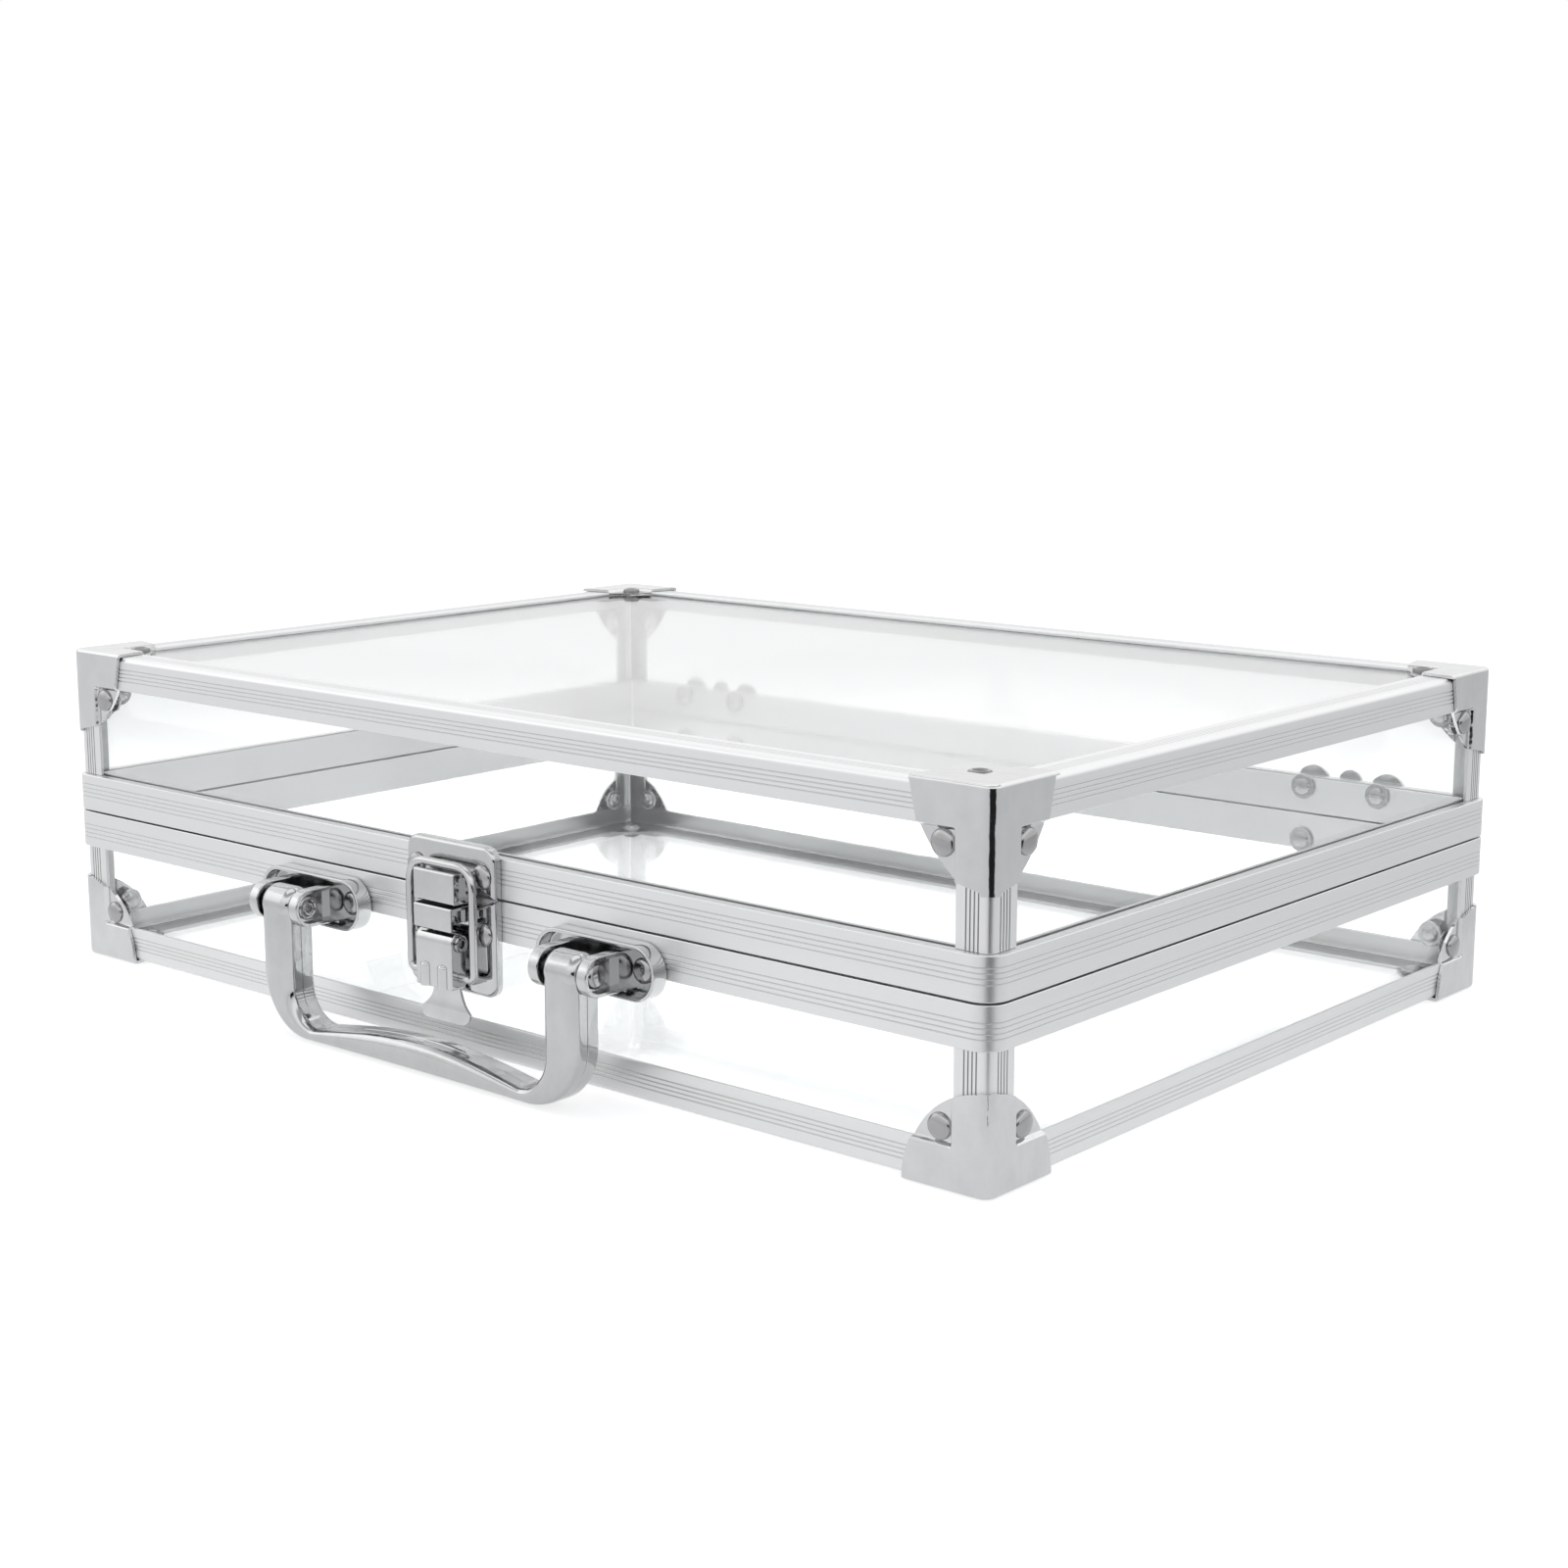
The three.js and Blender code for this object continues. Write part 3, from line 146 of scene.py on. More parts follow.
room = bpy.data.worlds.new("room")
bpy.context.scene.world = room
room.use_nodes = True
tree = room.node_tree
tree.nodes.clear()
around = add_node(tree, "TexCoord").outputs["Generated"]
height = add_node(tree, "SeparateXYZ", around).outputs["Z"]
mirrored = seen_in_metal(tree)
near_horizon = spread(tree, height, 0, 1, 0.22, 0.1, "SMOOTHSTEP")
darkness = arithmetic(tree, "MULTIPLY", dark_side(tree, around), near_horizon)
darkness = arithmetic(tree, "MULTIPLY", darkness, mirrored)
walls = spread(tree, height, 1.02, 1.42, 0.14, 0.55, "SMOOTHSTEP")
ceiling = spread(tree, height, 1, 0.42, 0.6, 0.85, "SMOOTHSTEP")
brightness = between(tree, mirrored, WHITE, arithmetic(tree, "MULTIPLY", walls, ceiling))
seen = add_node(tree, "Background", between(tree, darkness, brightness, ROOM_DARK))
lighting = add_node(tree, "Background", ROOM_LIGHT, ROOM_LIGHT_STRENGTH)
either = add_node(tree, "MixShader", seen_clean(tree), lighting.outputs[0], seen.outputs[0])
add_node(tree, "OutputWorld", either.outputs[0])


def soft_light(name, place, target, width, depth, watts):
    """A rectangular lamp turned toward its target."""
    lamp = bpy.data.lights.new(name, "AREA")
    lamp.shape = "RECTANGLE"
    lamp.size = width
    lamp.size_y = depth
    lamp.energy = watts
    light = add_object(name, lamp)
    light.location = place
    toward = Vector(target) - Vector(place)
    light.rotation_euler = toward.to_track_quat("-Z", "Y").to_euler()


soft_light("overhead", (-0.15, 0.1, 1.5), (0, 0, 0), 1.6, 1.2, 5)
soft_light("left", (-1.5, -0.9, 0.7), (0, 0, 0.05), 0.9, 0.9, 0.9)


def new_piece(name, points, faces):
    """A mesh object with all its faces turned outward."""
    mesh = bpy.data.meshes.new(name)
    mesh.from_pydata(points, [], faces)
    work = bmesh.new()
    work.from_mesh(mesh)
    bmesh.ops.remove_doubles(work, verts=work.verts, dist=1e-5)
    bmesh.ops.recalc_face_normals(work, faces=work.faces)
    work.to_mesh(mesh)
    work.free()
    return add_object(name, mesh)


def new_finish(name):
    """An empty metal or plastic material: its node tree, its shader and a position in the case."""
    material = bpy.data.materials.new(name)
    material.use_nodes = True
    tree = material.node_tree
    shader = next(node for node in tree.nodes if node.type == "BSDF_PRINCIPLED")
    position = add_node(tree, "TexCoord").outputs["Object"]
    return material, tree, shader, position


def set_surface(tree, shader):
    """Puts a mixed shader on a material's surface."""
    output = next(node for node in tree.nodes if node.type == "OUTPUT_MATERIAL")
    wire(tree, shader.outputs[0], output.inputs["Surface"])


def stretched_noise(tree, position, scale, detail, evenness=0.55):
    """Noise with its own number of spots per metre along each axis."""
    stretch = add_node(tree, "Mapping", position, (0, 0, 0), (0, 0, 0), scale)
    return add_node(tree, "TexNoise", stretch.outputs[0], 0, 1, detail, evenness).outputs["Fac"]


def relief(tree, shader, value, depth, strength=1.0):
    """Raises and sinks the surface by a value, in metres at full height."""
    bump = add_node(tree, "Bump")
    wire(tree, value, bump.inputs["Height"])
    bump.inputs["Distance"].default_value = depth
    bump.inputs["Strength"].default_value = strength
    wire(tree, bump.outputs[0], shader.inputs["Normal"])


floor_corners = [(x * FLOOR_HALF, y * FLOOR_HALF, 0) for x, y in ((-1, -1), (1, -1), (1, 1), (-1, 1))]
floor_sheet = new_piece("floor", floor_corners, [(0, 1, 2, 3)])
floor_sheet.location.z = -FLOOR_SINK
paper, tree, shader, position = new_finish("studio paper")
fibre = stretched_noise(tree, position, (400, 400, 400), 4)
wire(tree, between(tree, fibre, (0.93, 0.93, 0.93), (0.96, 0.96, 0.96)), shader.inputs["Base Color"])
shader.inputs["Roughness"].default_value = 1
shader.inputs["Specular IOR Level"].default_value = 0
shader.inputs["Emission Color"].default_value = (1, 1, 1, 1)
distance = add_node(tree, "VectorMath", position, operation="LENGTH").outputs["Value"]
leftward = add_node(tree, "VectorMath", position, LEFT_AND_FRONT, operation="DOT_PRODUCT")
seen_straight = spread(tree, distance, 0.58, 0.68, 0.3, 1.1)
# Painted light: seen through the panes, the floor near the case glows nearly white, which hides the case's
# shadow there.
through_panes = spread(tree, distance, 0.95, 0.3, 0.2, 0.7)
# Painted reflection: seen in metal, the floor glows brighter toward the left and front, and brighter still
# close under the case.
under_case = spread(tree, distance, 0.24, 0, 0.2, 0.34)
in_metal = spread(tree, leftward.outputs["Value"], 0.14, 0.3, -0.35, 0.45)
in_metal = arithmetic(tree, "ADD", in_metal, under_case)
through = add_node(tree, "LightPath").outputs["Is Transmission Ray"]
glow = between(tree, seen_in_metal(tree), between(tree, through, seen_straight, through_panes), in_metal)
wire(tree, arithmetic(tree, "MULTIPLY", seen_clean(tree), glow), shader.inputs["Emission Strength"])
# Painted reflection: seen in metal, the floor toward the dark side of the studio turns near-black.
from_start = add_node(tree, "VectorMath", position, DARK_START + case_middle, operation="SUBTRACT")
dark = arithmetic(tree, "MULTIPLY", seen_in_metal(tree), dark_side(tree, from_start.outputs[0]))
unlit = add_node(tree, "Emission", FLOOR_DARK)
set_surface(tree, add_node(tree, "MixShader", dark, shader.outputs[0], unlit.outputs[0]))
floor_sheet.data.materials.append(paper)

# Panes: 3 mm sheets of cast acrylic, one over the top, one under the bottom and four round each
# half. They are cut square, slipped into the angles and the rim channels, and held by rivets.
acrylic, tree, shader, position = new_finish("clear acrylic")
shader.inputs["Transmission Weight"].default_value = 1
shader.inputs["IOR"].default_value = 1.49
haze = stretched_noise(tree, position, (14, 14, 14), 5)
wire(tree, between(tree, haze, (0.94, 0.948, 0.948), (0.96, 0.966, 0.966)), shader.inputs["Base Color"])
hairlines = stretched_noise(tree, position, (90, 700, 300), 2)
wire(tree, spread(tree, haze, 0.0, 0.03, 0.45, 0.75), shader.inputs["Roughness"])
relief(tree, shader, hairlines, 0.000004, 0.4)
see_through = add_node(tree, "BsdfTransparent", (0.97, 0.98, 0.98))
for_lamps = add_node(tree, "LightPath").outputs["Is Shadow Ray"]
set_surface(tree, add_node(tree, "MixShader", for_lamps, shader.outputs[0], see_through.outputs[0]))
for name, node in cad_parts.items():
    if name.endswith("_pane"):
        node.data.materials.clear()
        node.data.materials.append(acrylic)

# Edge angles and posts: aluminium angle, drawn with four fine grooves along each leg, brushed and
# cut to length. The eight rails run round the top and the bottom, the eight posts stand between
# them and the rim channels, and the corner guards hold them together.
CASE_LENGTH = 362
CASE_WIDTH = 255
HALF_LENGTH = CASE_LENGTH / 2
HALF_WIDTH = CASE_WIDTH / 2
SEAM = 48
SEAM_GAP = 0.5
OUTER_FACE = {"lid": 98.9, "base": 1.1}
SEAM_FACE = {"lid": SEAM + SEAM_GAP / 2, "base": SEAM - SEAM_GAP / 2}
OUTWARD = {"lid": 1, "base": -1}
CLEARANCE = 0.1
ANGLE_LEG = 10.5
ANGLE_SHEET = 1.2
RAIL_EDGE = 1.5
POST_CORNER = 2.5
GROOVE_MIDDLE = 5.5
GROOVE_PITCH = 1.2
GROOVE_WIDTH = 0.4
GROOVE_DEPTH = 0.14
RAIL_SHORTER = 2.2
BAND_RISE = 11.45
CORNERS = ((-1, -1, "front_left"), (1, -1, "front_right"), (-1, 1, "back_left"),
           (1, 1, "back_right"))
MM = 0.001


def arc(x, y, radius, start, end, steps):
    """Points along a circle, from one angle in degrees to another."""
    turn = [radians(start + (end - start) * i / steps) for i in range(steps + 1)]
    return [(x + radius * cos(a), y + radius * sin(a)) for a in turn]


def skinned(name, rings, ends="capped"):
    """A body over rings of points, each joined to the next; its ends are capped, looped or bare."""
    count = len(rings[0])
    total = count * len(rings)
    last = total - count
    faces = []
    if ends == "capped":
        faces = [tuple(range(count)), tuple(range(total - 1, last - 1, -1))]
    for here in range(0, total if ends == "looped" else last, count):
        there = (here + count) % total
        for j in range(count):
            k = (j + 1) % count
            faces.append((here + j, here + k, there + k, there + j))
    return new_piece(name, [point for ring in rings for point in ring], faces)


def groove(middle):
    """A rounded groove as (along the face, depth) points."""
    half = GROOVE_WIDTH / 2
    return [
        (middle - half, 0),
        (middle - half * 0.6, GROOVE_DEPTH * 0.75),
        (middle, GROOVE_DEPTH),
        (middle + half * 0.6, GROOVE_DEPTH * 0.75),
        (middle + half, 0),
    ]


def groove_places(middle, pitch):
    """Where the middles of four grooves lie."""
    return [middle + (i - 1.5) * pitch for i in range(4)]


def angle_profile(edge_radius):
    """The drawn section: both legs run inward from the outer edge."""
    near = [p for m in groove_places(GROOVE_MIDDLE, GROOVE_PITCH) for p in groove(m)]
    outer_leg = [(along, depth) for along, depth in reversed(near)]
    other_leg = [(depth, along) for along, depth in near]
    end = 0.35
    return (
        [(ANGLE_LEG, ANGLE_SHEET - end), (ANGLE_LEG, end), (ANGLE_LEG - end * 0.3, end * 0.3),
         (ANGLE_LEG - end, 0)]
        + outer_leg
        + arc(edge_radius, edge_radius, edge_radius, 270, 180, 8)
        + other_leg
        + [(0, ANGLE_LEG - end), (end * 0.3, ANGLE_LEG - end * 0.3), (end, ANGLE_LEG),
           (ANGLE_SHEET - end, ANGLE_LEG), (ANGLE_SHEET, ANGLE_LEG - end), (ANGLE_SHEET, 2),
           (ANGLE_SHEET + 0.2, ANGLE_SHEET + 0.2), (2, ANGLE_SHEET), (ANGLE_LEG - end, ANGLE_SHEET)]
    )


def drawn_length(name, profile, first, second, along, origin, start, end):
    """A profile carried from start to end of a line; its own directions are first and second."""
    first, second, along, origin = (Vector(v) for v in (first, second, along, origin))
    rings = [[origin + first * u + second * v + along * reach for u, v in profile]
             for reach in (start, end)]
    return skinned(name, rings)


def settle(piece):
    """Turns a piece's modifiers into plain mesh."""
    bpy.context.view_layer.update()
    graph = bpy.context.evaluated_depsgraph_get()
    made = bpy.data.meshes.new_from_object(piece.evaluated_get(graph))
    rough = piece.data
    piece.modifiers.clear()
    piece.data = made
    bpy.data.meshes.remove(rough)
    return piece


def brushed_aluminium(name, spots):
    """Fine brush lines; spots is how many a metre holds along x, y and z."""
    material, tree, shader, position = new_finish(name)
    lines = stretched_noise(tree, position, spots, 3, 0.6)
    smudges = stretched_noise(tree, position, (22, 22, 22), 4)
    shader.inputs["Metallic"].default_value = 1
    tint = between(tree, lines, (0.74, 0.745, 0.75), (0.79, 0.793, 0.798))
    wire(tree, tint, shader.inputs["Base Color"])
    polish = arithmetic(tree, "ADD", spread(tree, lines, 0.34, 0.42), spread(tree, smudges, -0.03, 0.05))
    wire(tree, polish, shader.inputs["Roughness"])
    relief(tree, shader, lines, 0.000004, 0.4)
    return material


def painted_shade_metal(name, low, high):
    """Darker metal put in grooves, gaps and bores as painted shade, in patches."""
    material, tree, shader, position = new_finish(name)
    shade_patches = stretched_noise(tree, position, (60, 60, 60), 4)
    shader.inputs["Metallic"].default_value = 1
    wire(tree, between(tree, shade_patches, (low, low, low), (high, high, high)), shader.inputs["Base Color"])
    wire(tree, spread(tree, shade_patches, 0.3, 0.5), shader.inputs["Roughness"])
    return material


brushed = {
    "x": brushed_aluminium("aluminium brushed along x", (9, 2400, 2400)),
    "y": brushed_aluminium("aluminium brushed along y", (2400, 9, 2400)),
    "z": brushed_aluminium("aluminium brushed along z", (2400, 2400, 9)),
}
# Painted shade: the grooves of rails and bands take the first darker metal; the posts' grooves and the
# rivets' bores take the darkest.
groove_painted_shade = painted_shade_metal("groove", 0.5, 0.62)
deep_painted_shade = painted_shade_metal("deep painted shade", 0.2, 0.34)


def shade(piece, angle=38):
    """Smooth across shallow angles, sharp across steep ones; flat faces stay flat to their edges."""
    piece.data.shade_smooth()
    piece.data.set_sharp_from_angle(angle=radians(angle))
    level = piece.modifiers.new("level", "WEIGHTED_NORMAL")
    level.keep_sharp = True
    settle(piece)


def mount(piece, body, slot, finishes, *nodes):
    """Moves a piece from millimetres about the case's middle to its place, on its body."""
    piece.data.transform(Matrix.Translation(case_middle) @ Matrix.Scale(MM, 4))
    shade(piece)
    for finish in finishes:
        piece.data.materials.append(finish)
    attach(piece, body)
    if nodes:
        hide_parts(*nodes)
    return piece


def darken_grooves(piece, origin, first, second):
    """Gives the faces inside an angle's grooves the piece's second material, a painted shade."""
    places = groove_places(GROOVE_MIDDLE, GROOVE_PITCH)
    for face in piece.data.polygons:
        inward = face.center - Vector(origin)
        depth, across = sorted((inward.dot(Vector(first)), inward.dot(Vector(second))))
        in_groove = any(abs(across - m) < GROOVE_WIDTH / 2 for m in places)
        if in_groove and 0.02 < depth < 0.6:
            face.material_index = 1


for half in ("base", "lid"):
    down = (0, 0, -OUTWARD[half])
    outer = OUTER_FACE[half]
    rails = {
        "front": ((0, 1, 0), "x", (0, -HALF_WIDTH, outer), HALF_LENGTH),
        "back": ((0, -1, 0), "x", (0, HALF_WIDTH, outer), HALF_LENGTH),
        "left": ((1, 0, 0), "y", (-HALF_LENGTH, 0, outer), HALF_WIDTH),
        "right": ((-1, 0, 0), "y", (HALF_LENGTH, 0, outer), HALF_WIDTH),
    }
    for side, (inward, axis, origin, reach) in rails.items():
        name = f"{half}_{side}_rail"
        along = (1, 0, 0) if axis == "x" else (0, 1, 0)
        ends = reach - RAIL_SHORTER
        rail = drawn_length(name + "_drawn", angle_profile(RAIL_EDGE), inward, down, along, origin,
                            -ends, ends)
        darken_grooves(rail, origin, inward, down)
        mount(rail, half, "rails", [brushed[axis], groove_painted_shade], name)
    post_end = outer - OUTWARD[half] * (ANGLE_LEG + CLEARANCE)
    post_start = SEAM_FACE[half] + OUTWARD[half] * (BAND_RISE + CLEARANCE)
    for sx, sy, corner in CORNERS:
        name = f"{half}_{corner}_post"
        origin = Vector((sx * HALF_LENGTH, sy * HALF_WIDTH, 0))
        inward_x = Vector((-sx, 0, 0))
        inward_y = Vector((0, -sy, 0))
        post = drawn_length(name + "_drawn", angle_profile(POST_CORNER), inward_x, inward_y,
                            (0, 0, 1), origin, post_start, post_end)
        darken_grooves(post, origin, inward_x, inward_y)
        mount(post, half, "posts", [brushed["z"], deep_painted_shade], name)

# Rim channels: the two grooved aluminium bands that meet at the seam. Each is drawn as a U, bent
# round the case in one piece, and takes the lower edges of the side panes in its slot.
BAND_OVERHANG = 2
BAND_CORNER = 6.5
BAND_EDGE = 0.3
BAND_THICK = 7.4
BAND_INSIDE_CORNER = 0.6
SLOT_OUTER = 3.2
SLOT_INNER = 6.4
SLOT_DEEP = 7
BAND_GROOVE_MIDDLE = 6.4
BAND_GROOVE_PITCH = 1.35
BAND_CORNER_STEPS = 10
band_front = -(HALF_WIDTH + BAND_OVERHANG)
band_back = HALF_WIDTH + BAND_OVERHANG


def band_profile():
    """The channel as (depth from its outer face, rise from the seam face)."""
    grooves = [(depth, rise) for m in groove_places(BAND_GROOVE_MIDDLE, BAND_GROOVE_PITCH)
               for rise, depth in groove(m)]
    edge = BAND_EDGE
    return (
        arc(edge, edge, edge, 270, 180, 4)
        + grooves
        + arc(edge, BAND_RISE - edge, edge, 180, 90, 4)
        + [(SLOT_OUTER - 0.25, BAND_RISE), (SLOT_OUTER, BAND_RISE - 0.25),
           (SLOT_OUTER, BAND_RISE - SLOT_DEEP), (SLOT_INNER, BAND_RISE - SLOT_DEEP),
           (SLOT_INNER, BAND_RISE - 0.2), (SLOT_INNER + 0.2, BAND_RISE),
           (BAND_THICK - 0.2, BAND_RISE), (BAND_THICK, BAND_RISE - 0.2), (BAND_THICK, 0.2),
           (BAND_THICK - 0.2, 0)]
    )


def band_turn(depth):
    """One turn round the case at a depth below the band's outer face."""
    half_x = HALF_LENGTH + BAND_OVERHANG - depth
    half_y = HALF_WIDTH + BAND_OVERHANG - depth
    radius = max(BAND_CORNER - depth, BAND_INSIDE_CORNER)
    turn = []
    for sx, sy, start in ((1, -1, -90), (1, 1, 0), (-1, 1, 90), (-1, -1, 180)):
        corner_x = sx * (half_x - radius)
        corner_y = sy * (half_y - radius)
        turn += arc(corner_x, corner_y, radius, start, start + 90, BAND_CORNER_STEPS)
    return turn


for half in ("base", "lid"):
    rings = []
    for depth, rise in band_profile():
        z = SEAM_FACE[half] + OUTWARD[half] * rise
        rings.append([(x, y, z) for x, y in band_turn(depth)])
    band = skinned(f"{half}_rim_band_drawn", rings, "looped")
    places = groove_places(BAND_GROOVE_MIDDLE, BAND_GROOVE_PITCH)
    for face in band.data.polygons:
        center = face.center
        rise = (center.z - SEAM_FACE[half]) * OUTWARD[half]
        beyond_x = HALF_LENGTH + BAND_OVERHANG - abs(center.x)
        beyond_y = HALF_WIDTH + BAND_OVERHANG - abs(center.y)
        on_side = beyond_x < beyond_y
        depth = min(beyond_x, beyond_y)
        # Painted shade: faces in the band's grooves take the darker third material.
        grooved = any(abs(rise - m) < GROOVE_WIDTH / 2 for m in places) and depth < 3
        face.material_index = 2 if grooved else (1 if on_side else 0)
    mount(band, half, "rim_bands", [brushed["x"], brushed["y"], groove_painted_shade], f"{half}_rim_band")

# Corner guards: 1 mm steel pressed over each corner, nickel plated and polished. Each covers three
# faces, steps down to the acrylic in its inner corner, and is held there by three rivets.
GUARD_STANDOFF = 1.1
GUARD_SHEET = 1.0
GUARD_CORNER = 3.6
GUARD_EDGE = 1.0
TOP_REACH = 25.1
TOP_DROP = 26.5
TOP_REACH_TAPER = 2.7
TOP_DROP_TAPER = 2.5
TOP_BULGE = 1.2
BOTTOM_RADIUS = 26
STEP_START = 10.9
STEP_END = 12.1
STEP_DEEP = 1.3
RIVET_INSET = 15.4
GUARD_FAR = 40


def pull(piece, operation, *others):
    """Joins other bodies to a piece, cuts them from it, or keeps only what it shares with them."""
    for other in others:
        step = piece.modifiers.new("step", "BOOLEAN")
        step.operation = operation
        step.solver = "EXACT"
        step.object = other
        settle(piece)
        bpy.data.objects.remove(other)
    return piece


def place_of(part):
    """Where a mesh's point, edge or face lies."""
    points = [part] if isinstance(part, bmesh.types.BMVert) else part.verts
    return sorted(tuple(round(c, 4) + 0.0 for c in point.co) for point in points)


def in_order(piece):
    """Sorts a piece's points, edges and faces by place, so that every run goes on alike."""
    work = bmesh.new()
    work.from_mesh(piece.data)
    for parts in (work.verts, work.edges, work.faces):
        rank = {part: i for i, part in enumerate(sorted(parts, key=place_of))}
        parts.sort(key=lambda part: rank[part])
    work.to_mesh(piece.data)
    work.free()
    return piece


def drawn_out(name, outline, axis, start, end):
    """An outline thickened along x, y or z; its points run along the two other axes in order."""
    order = {"x": (2, 0, 1), "y": (0, 2, 1), "z": (0, 1, 2)}[axis]
    rings = [[[(u, v, reach)[k] for k in order] for u, v in outline] for reach in (start, end)]
    return skinned(name, rings)


def ease(piece, radius, segments=2, angle=35):
    """Rounds every edge steeper than the angle."""
    work = bmesh.new()
    work.from_mesh(piece.data)
    bmesh.ops.remove_doubles(work, verts=work.verts, dist=0.02)
    bmesh.ops.dissolve_limit(work, angle_limit=radians(0.6), verts=work.verts, edges=work.edges)
    work.to_mesh(piece.data)
    work.free()
    edge = piece.modifiers.new("edge", "BEVEL")
    edge.width = radius
    edge.segments = segments
    edge.limit_method = "ANGLE"
    edge.angle_limit = radians(angle)
    edge.use_clamp_overlap = True
    return settle(piece)


def quadratic(start, over, end, steps):
    """Points on a curve that leaves start and reaches end, both aimed at over."""
    shares = [i / steps for i in range(steps + 1)]
    return [
        tuple(a * (1 - t) ** 2 + 2 * b * t * (1 - t) + c * t * t for a, b, c in zip(start, over, end))
        for t in shares
    ]


def stamped_sheet(name, outline):
    """A sheet trimmed to a convex outline; its inner corner steps down to the pane."""
    lines = [-0.5, 5, 10.4] + [STEP_START + (STEP_END - STEP_START) * i / 8 for i in range(9)]
    lines += [13.6, 18, 22, 30]
    count = len(lines)

    def sunk(t):
        share = min(max((t - STEP_START) / (STEP_END - STEP_START), 0), 1)
        return share * share * (3 - 2 * share)

    points = [(x, y, STEP_DEEP * sunk(x) * sunk(y)) for x in lines for y in lines]
    faces = []
    for i in range(count - 1):
        for j in range(count - 1):
            a = i * count + j
            faces.append((a, a + 1, a + count + 1, a + count))
    sheet = new_piece(name, points, faces)
    work = bmesh.new()
    work.from_mesh(sheet.data)
    for (x0, y0), (x1, y1) in zip(outline, outline[1:] + outline[:1]):
        everything = [*work.verts, *work.edges, *work.faces]
        outward = (y1 - y0, x0 - x1, 0)
        bmesh.ops.bisect_plane(work, geom=everything, plane_co=(x0, y0, 0), plane_no=outward,
                               clear_outer=True)
    bmesh.ops.remove_doubles(work, verts=work.verts, dist=0.002)
    grown = bmesh.ops.extrude_face_region(work, geom=work.faces[:])
    lifted = [part for part in grown["geom"] if isinstance(part, bmesh.types.BMVert)]
    bmesh.ops.translate(work, verts=lifted, vec=(0, 0, GUARD_SHEET))
    bmesh.ops.recalc_face_normals(work, faces=work.faces)
    work.to_mesh(sheet.data)
    work.free()
    return sheet


def rounded_box(name, far, corner, edge, steps):
    """A box from the origin with a round upright corner and a smaller radius round its outer face."""
    rings = []
    levels = [(edge * (1 - cos(radians(a))), edge * (1 - sin(radians(a)))) for a in range(0, 91, 15)]
    for z, inset in [(0, None)] + levels[1:] + [(far, 0)]:
        inset = edge if inset is None else inset
        radius = corner - inset
        ring = [(far, inset), (far, far), (inset, far)]
        ring += arc(inset + radius, inset + radius, radius, 180, 270, steps)
        rings.append([(x, y, z) for x, y in ring])
    return skinned(name, rings)


def turn_axes(piece, first, second, third):
    """Lays a piece's own x, y and z along three directions."""
    columns = Matrix((first, second, third)).transposed().to_4x4()
    piece.data.transform(columns)
    if columns.determinant() < 0:
        piece.data.flip_normals()
    return piece


X = (1, 0, 0)
Y = (0, 1, 0)
Z = (0, 0, 1)


def pressed_guard(name, outline):
    """A guard with x, y and z running inward from its outer corner."""
    walls = []
    for first, second, third in ((X, Z, Y), (Y, Z, X), (X, Y, Z)):
        walls.append(turn_axes(stamped_sheet("wall", outline), first, second, third))
    drop = max(y for x, y in outline)
    inner = GUARD_CORNER - GUARD_SHEET
    bend = (
        arc(GUARD_CORNER, GUARD_CORNER, GUARD_CORNER, 180, 270, 8)
        + arc(GUARD_CORNER, GUARD_CORNER, inner, 270, 180, 8)
    )
    guard = pull(walls[0], "UNION", walls[1], walls[2], drawn_out("bend", bend, "z", 0.2, drop))
    pull(guard, "INTERSECT", rounded_box("envelope", GUARD_FAR, GUARD_CORNER, GUARD_EDGE, 8))
    guard.name = name
    return ease(in_order(guard), 0.22, 2, 50)


top_tip = (TOP_REACH - TOP_REACH_TAPER, GUARD_STANDOFF + ANGLE_LEG)
top_heel = (GUARD_STANDOFF + ANGLE_LEG, TOP_DROP - TOP_DROP_TAPER)
top_over = tuple((a + b) / 2 + TOP_BULGE for a, b in zip(top_tip, top_heel))
top_outline = [(-0.2, -0.2), (TOP_REACH, -0.2)] + quadratic(top_tip, top_over, top_heel, 12)
top_outline += [(-0.2, TOP_DROP)]
bottom_outline = [(-0.2, -0.2)] + arc(0, 0, BOTTOM_RADIUS, 0, 90, 24) + [(-0.2, BOTTOM_RADIUS)]

RIVET_RADIUS = 3.5
RIVET_HIGH = 1.5
SHANK_RADIUS = 2
RIVET_HOLE = 2.1
WASHER_RADIUS = 4
WASHER_THICK = 0.8
PEEN_RADIUS = 2.8
PEEN_HIGH = 0.9
TUBE_HIGH = 1.25
TUBE_RADIUS = 3.1
TUBE_RIM = 2.6
TUBE_BORE = 1.7
TUBE_DEEP = 1.6


def turned(name, profile, origin, along, steps=32):
    """A profile of (radius, distance) points turned about a line through origin."""
    along = Vector(along)
    across = Vector(Y if along.x else X)
    third = along.cross(across)
    origin = Vector(origin)
    rings = []
    for radius, reach in profile:
        ring = []
        for i in range(steps):
            a = 2 * pi * i / steps
            ring.append(origin + along * reach + (across * cos(a) + third * sin(a)) * max(radius, 1e-6))
        rings.append(ring)
    return skinned(name, rings, "bare")


def clinched_end(grip):
    """The inner end of a rivet: shank, washer and the peened tail."""
    end = grip + WASHER_THICK
    return [
        (SHANK_RADIUS, 0), (SHANK_RADIUS, grip), (WASHER_RADIUS - 0.15, grip),
        (WASHER_RADIUS, grip + 0.15), (WASHER_RADIUS, end - 0.2), (WASHER_RADIUS - 0.2, end),
        (PEEN_RADIUS, end), (PEEN_RADIUS * 0.93, end + PEEN_HIGH * 0.4),
        (PEEN_RADIUS * 0.75, end + PEEN_HIGH * 0.75), (PEEN_RADIUS * 0.4, end + PEEN_HIGH * 0.96),
        (0, end + PEEN_HIGH),
    ]


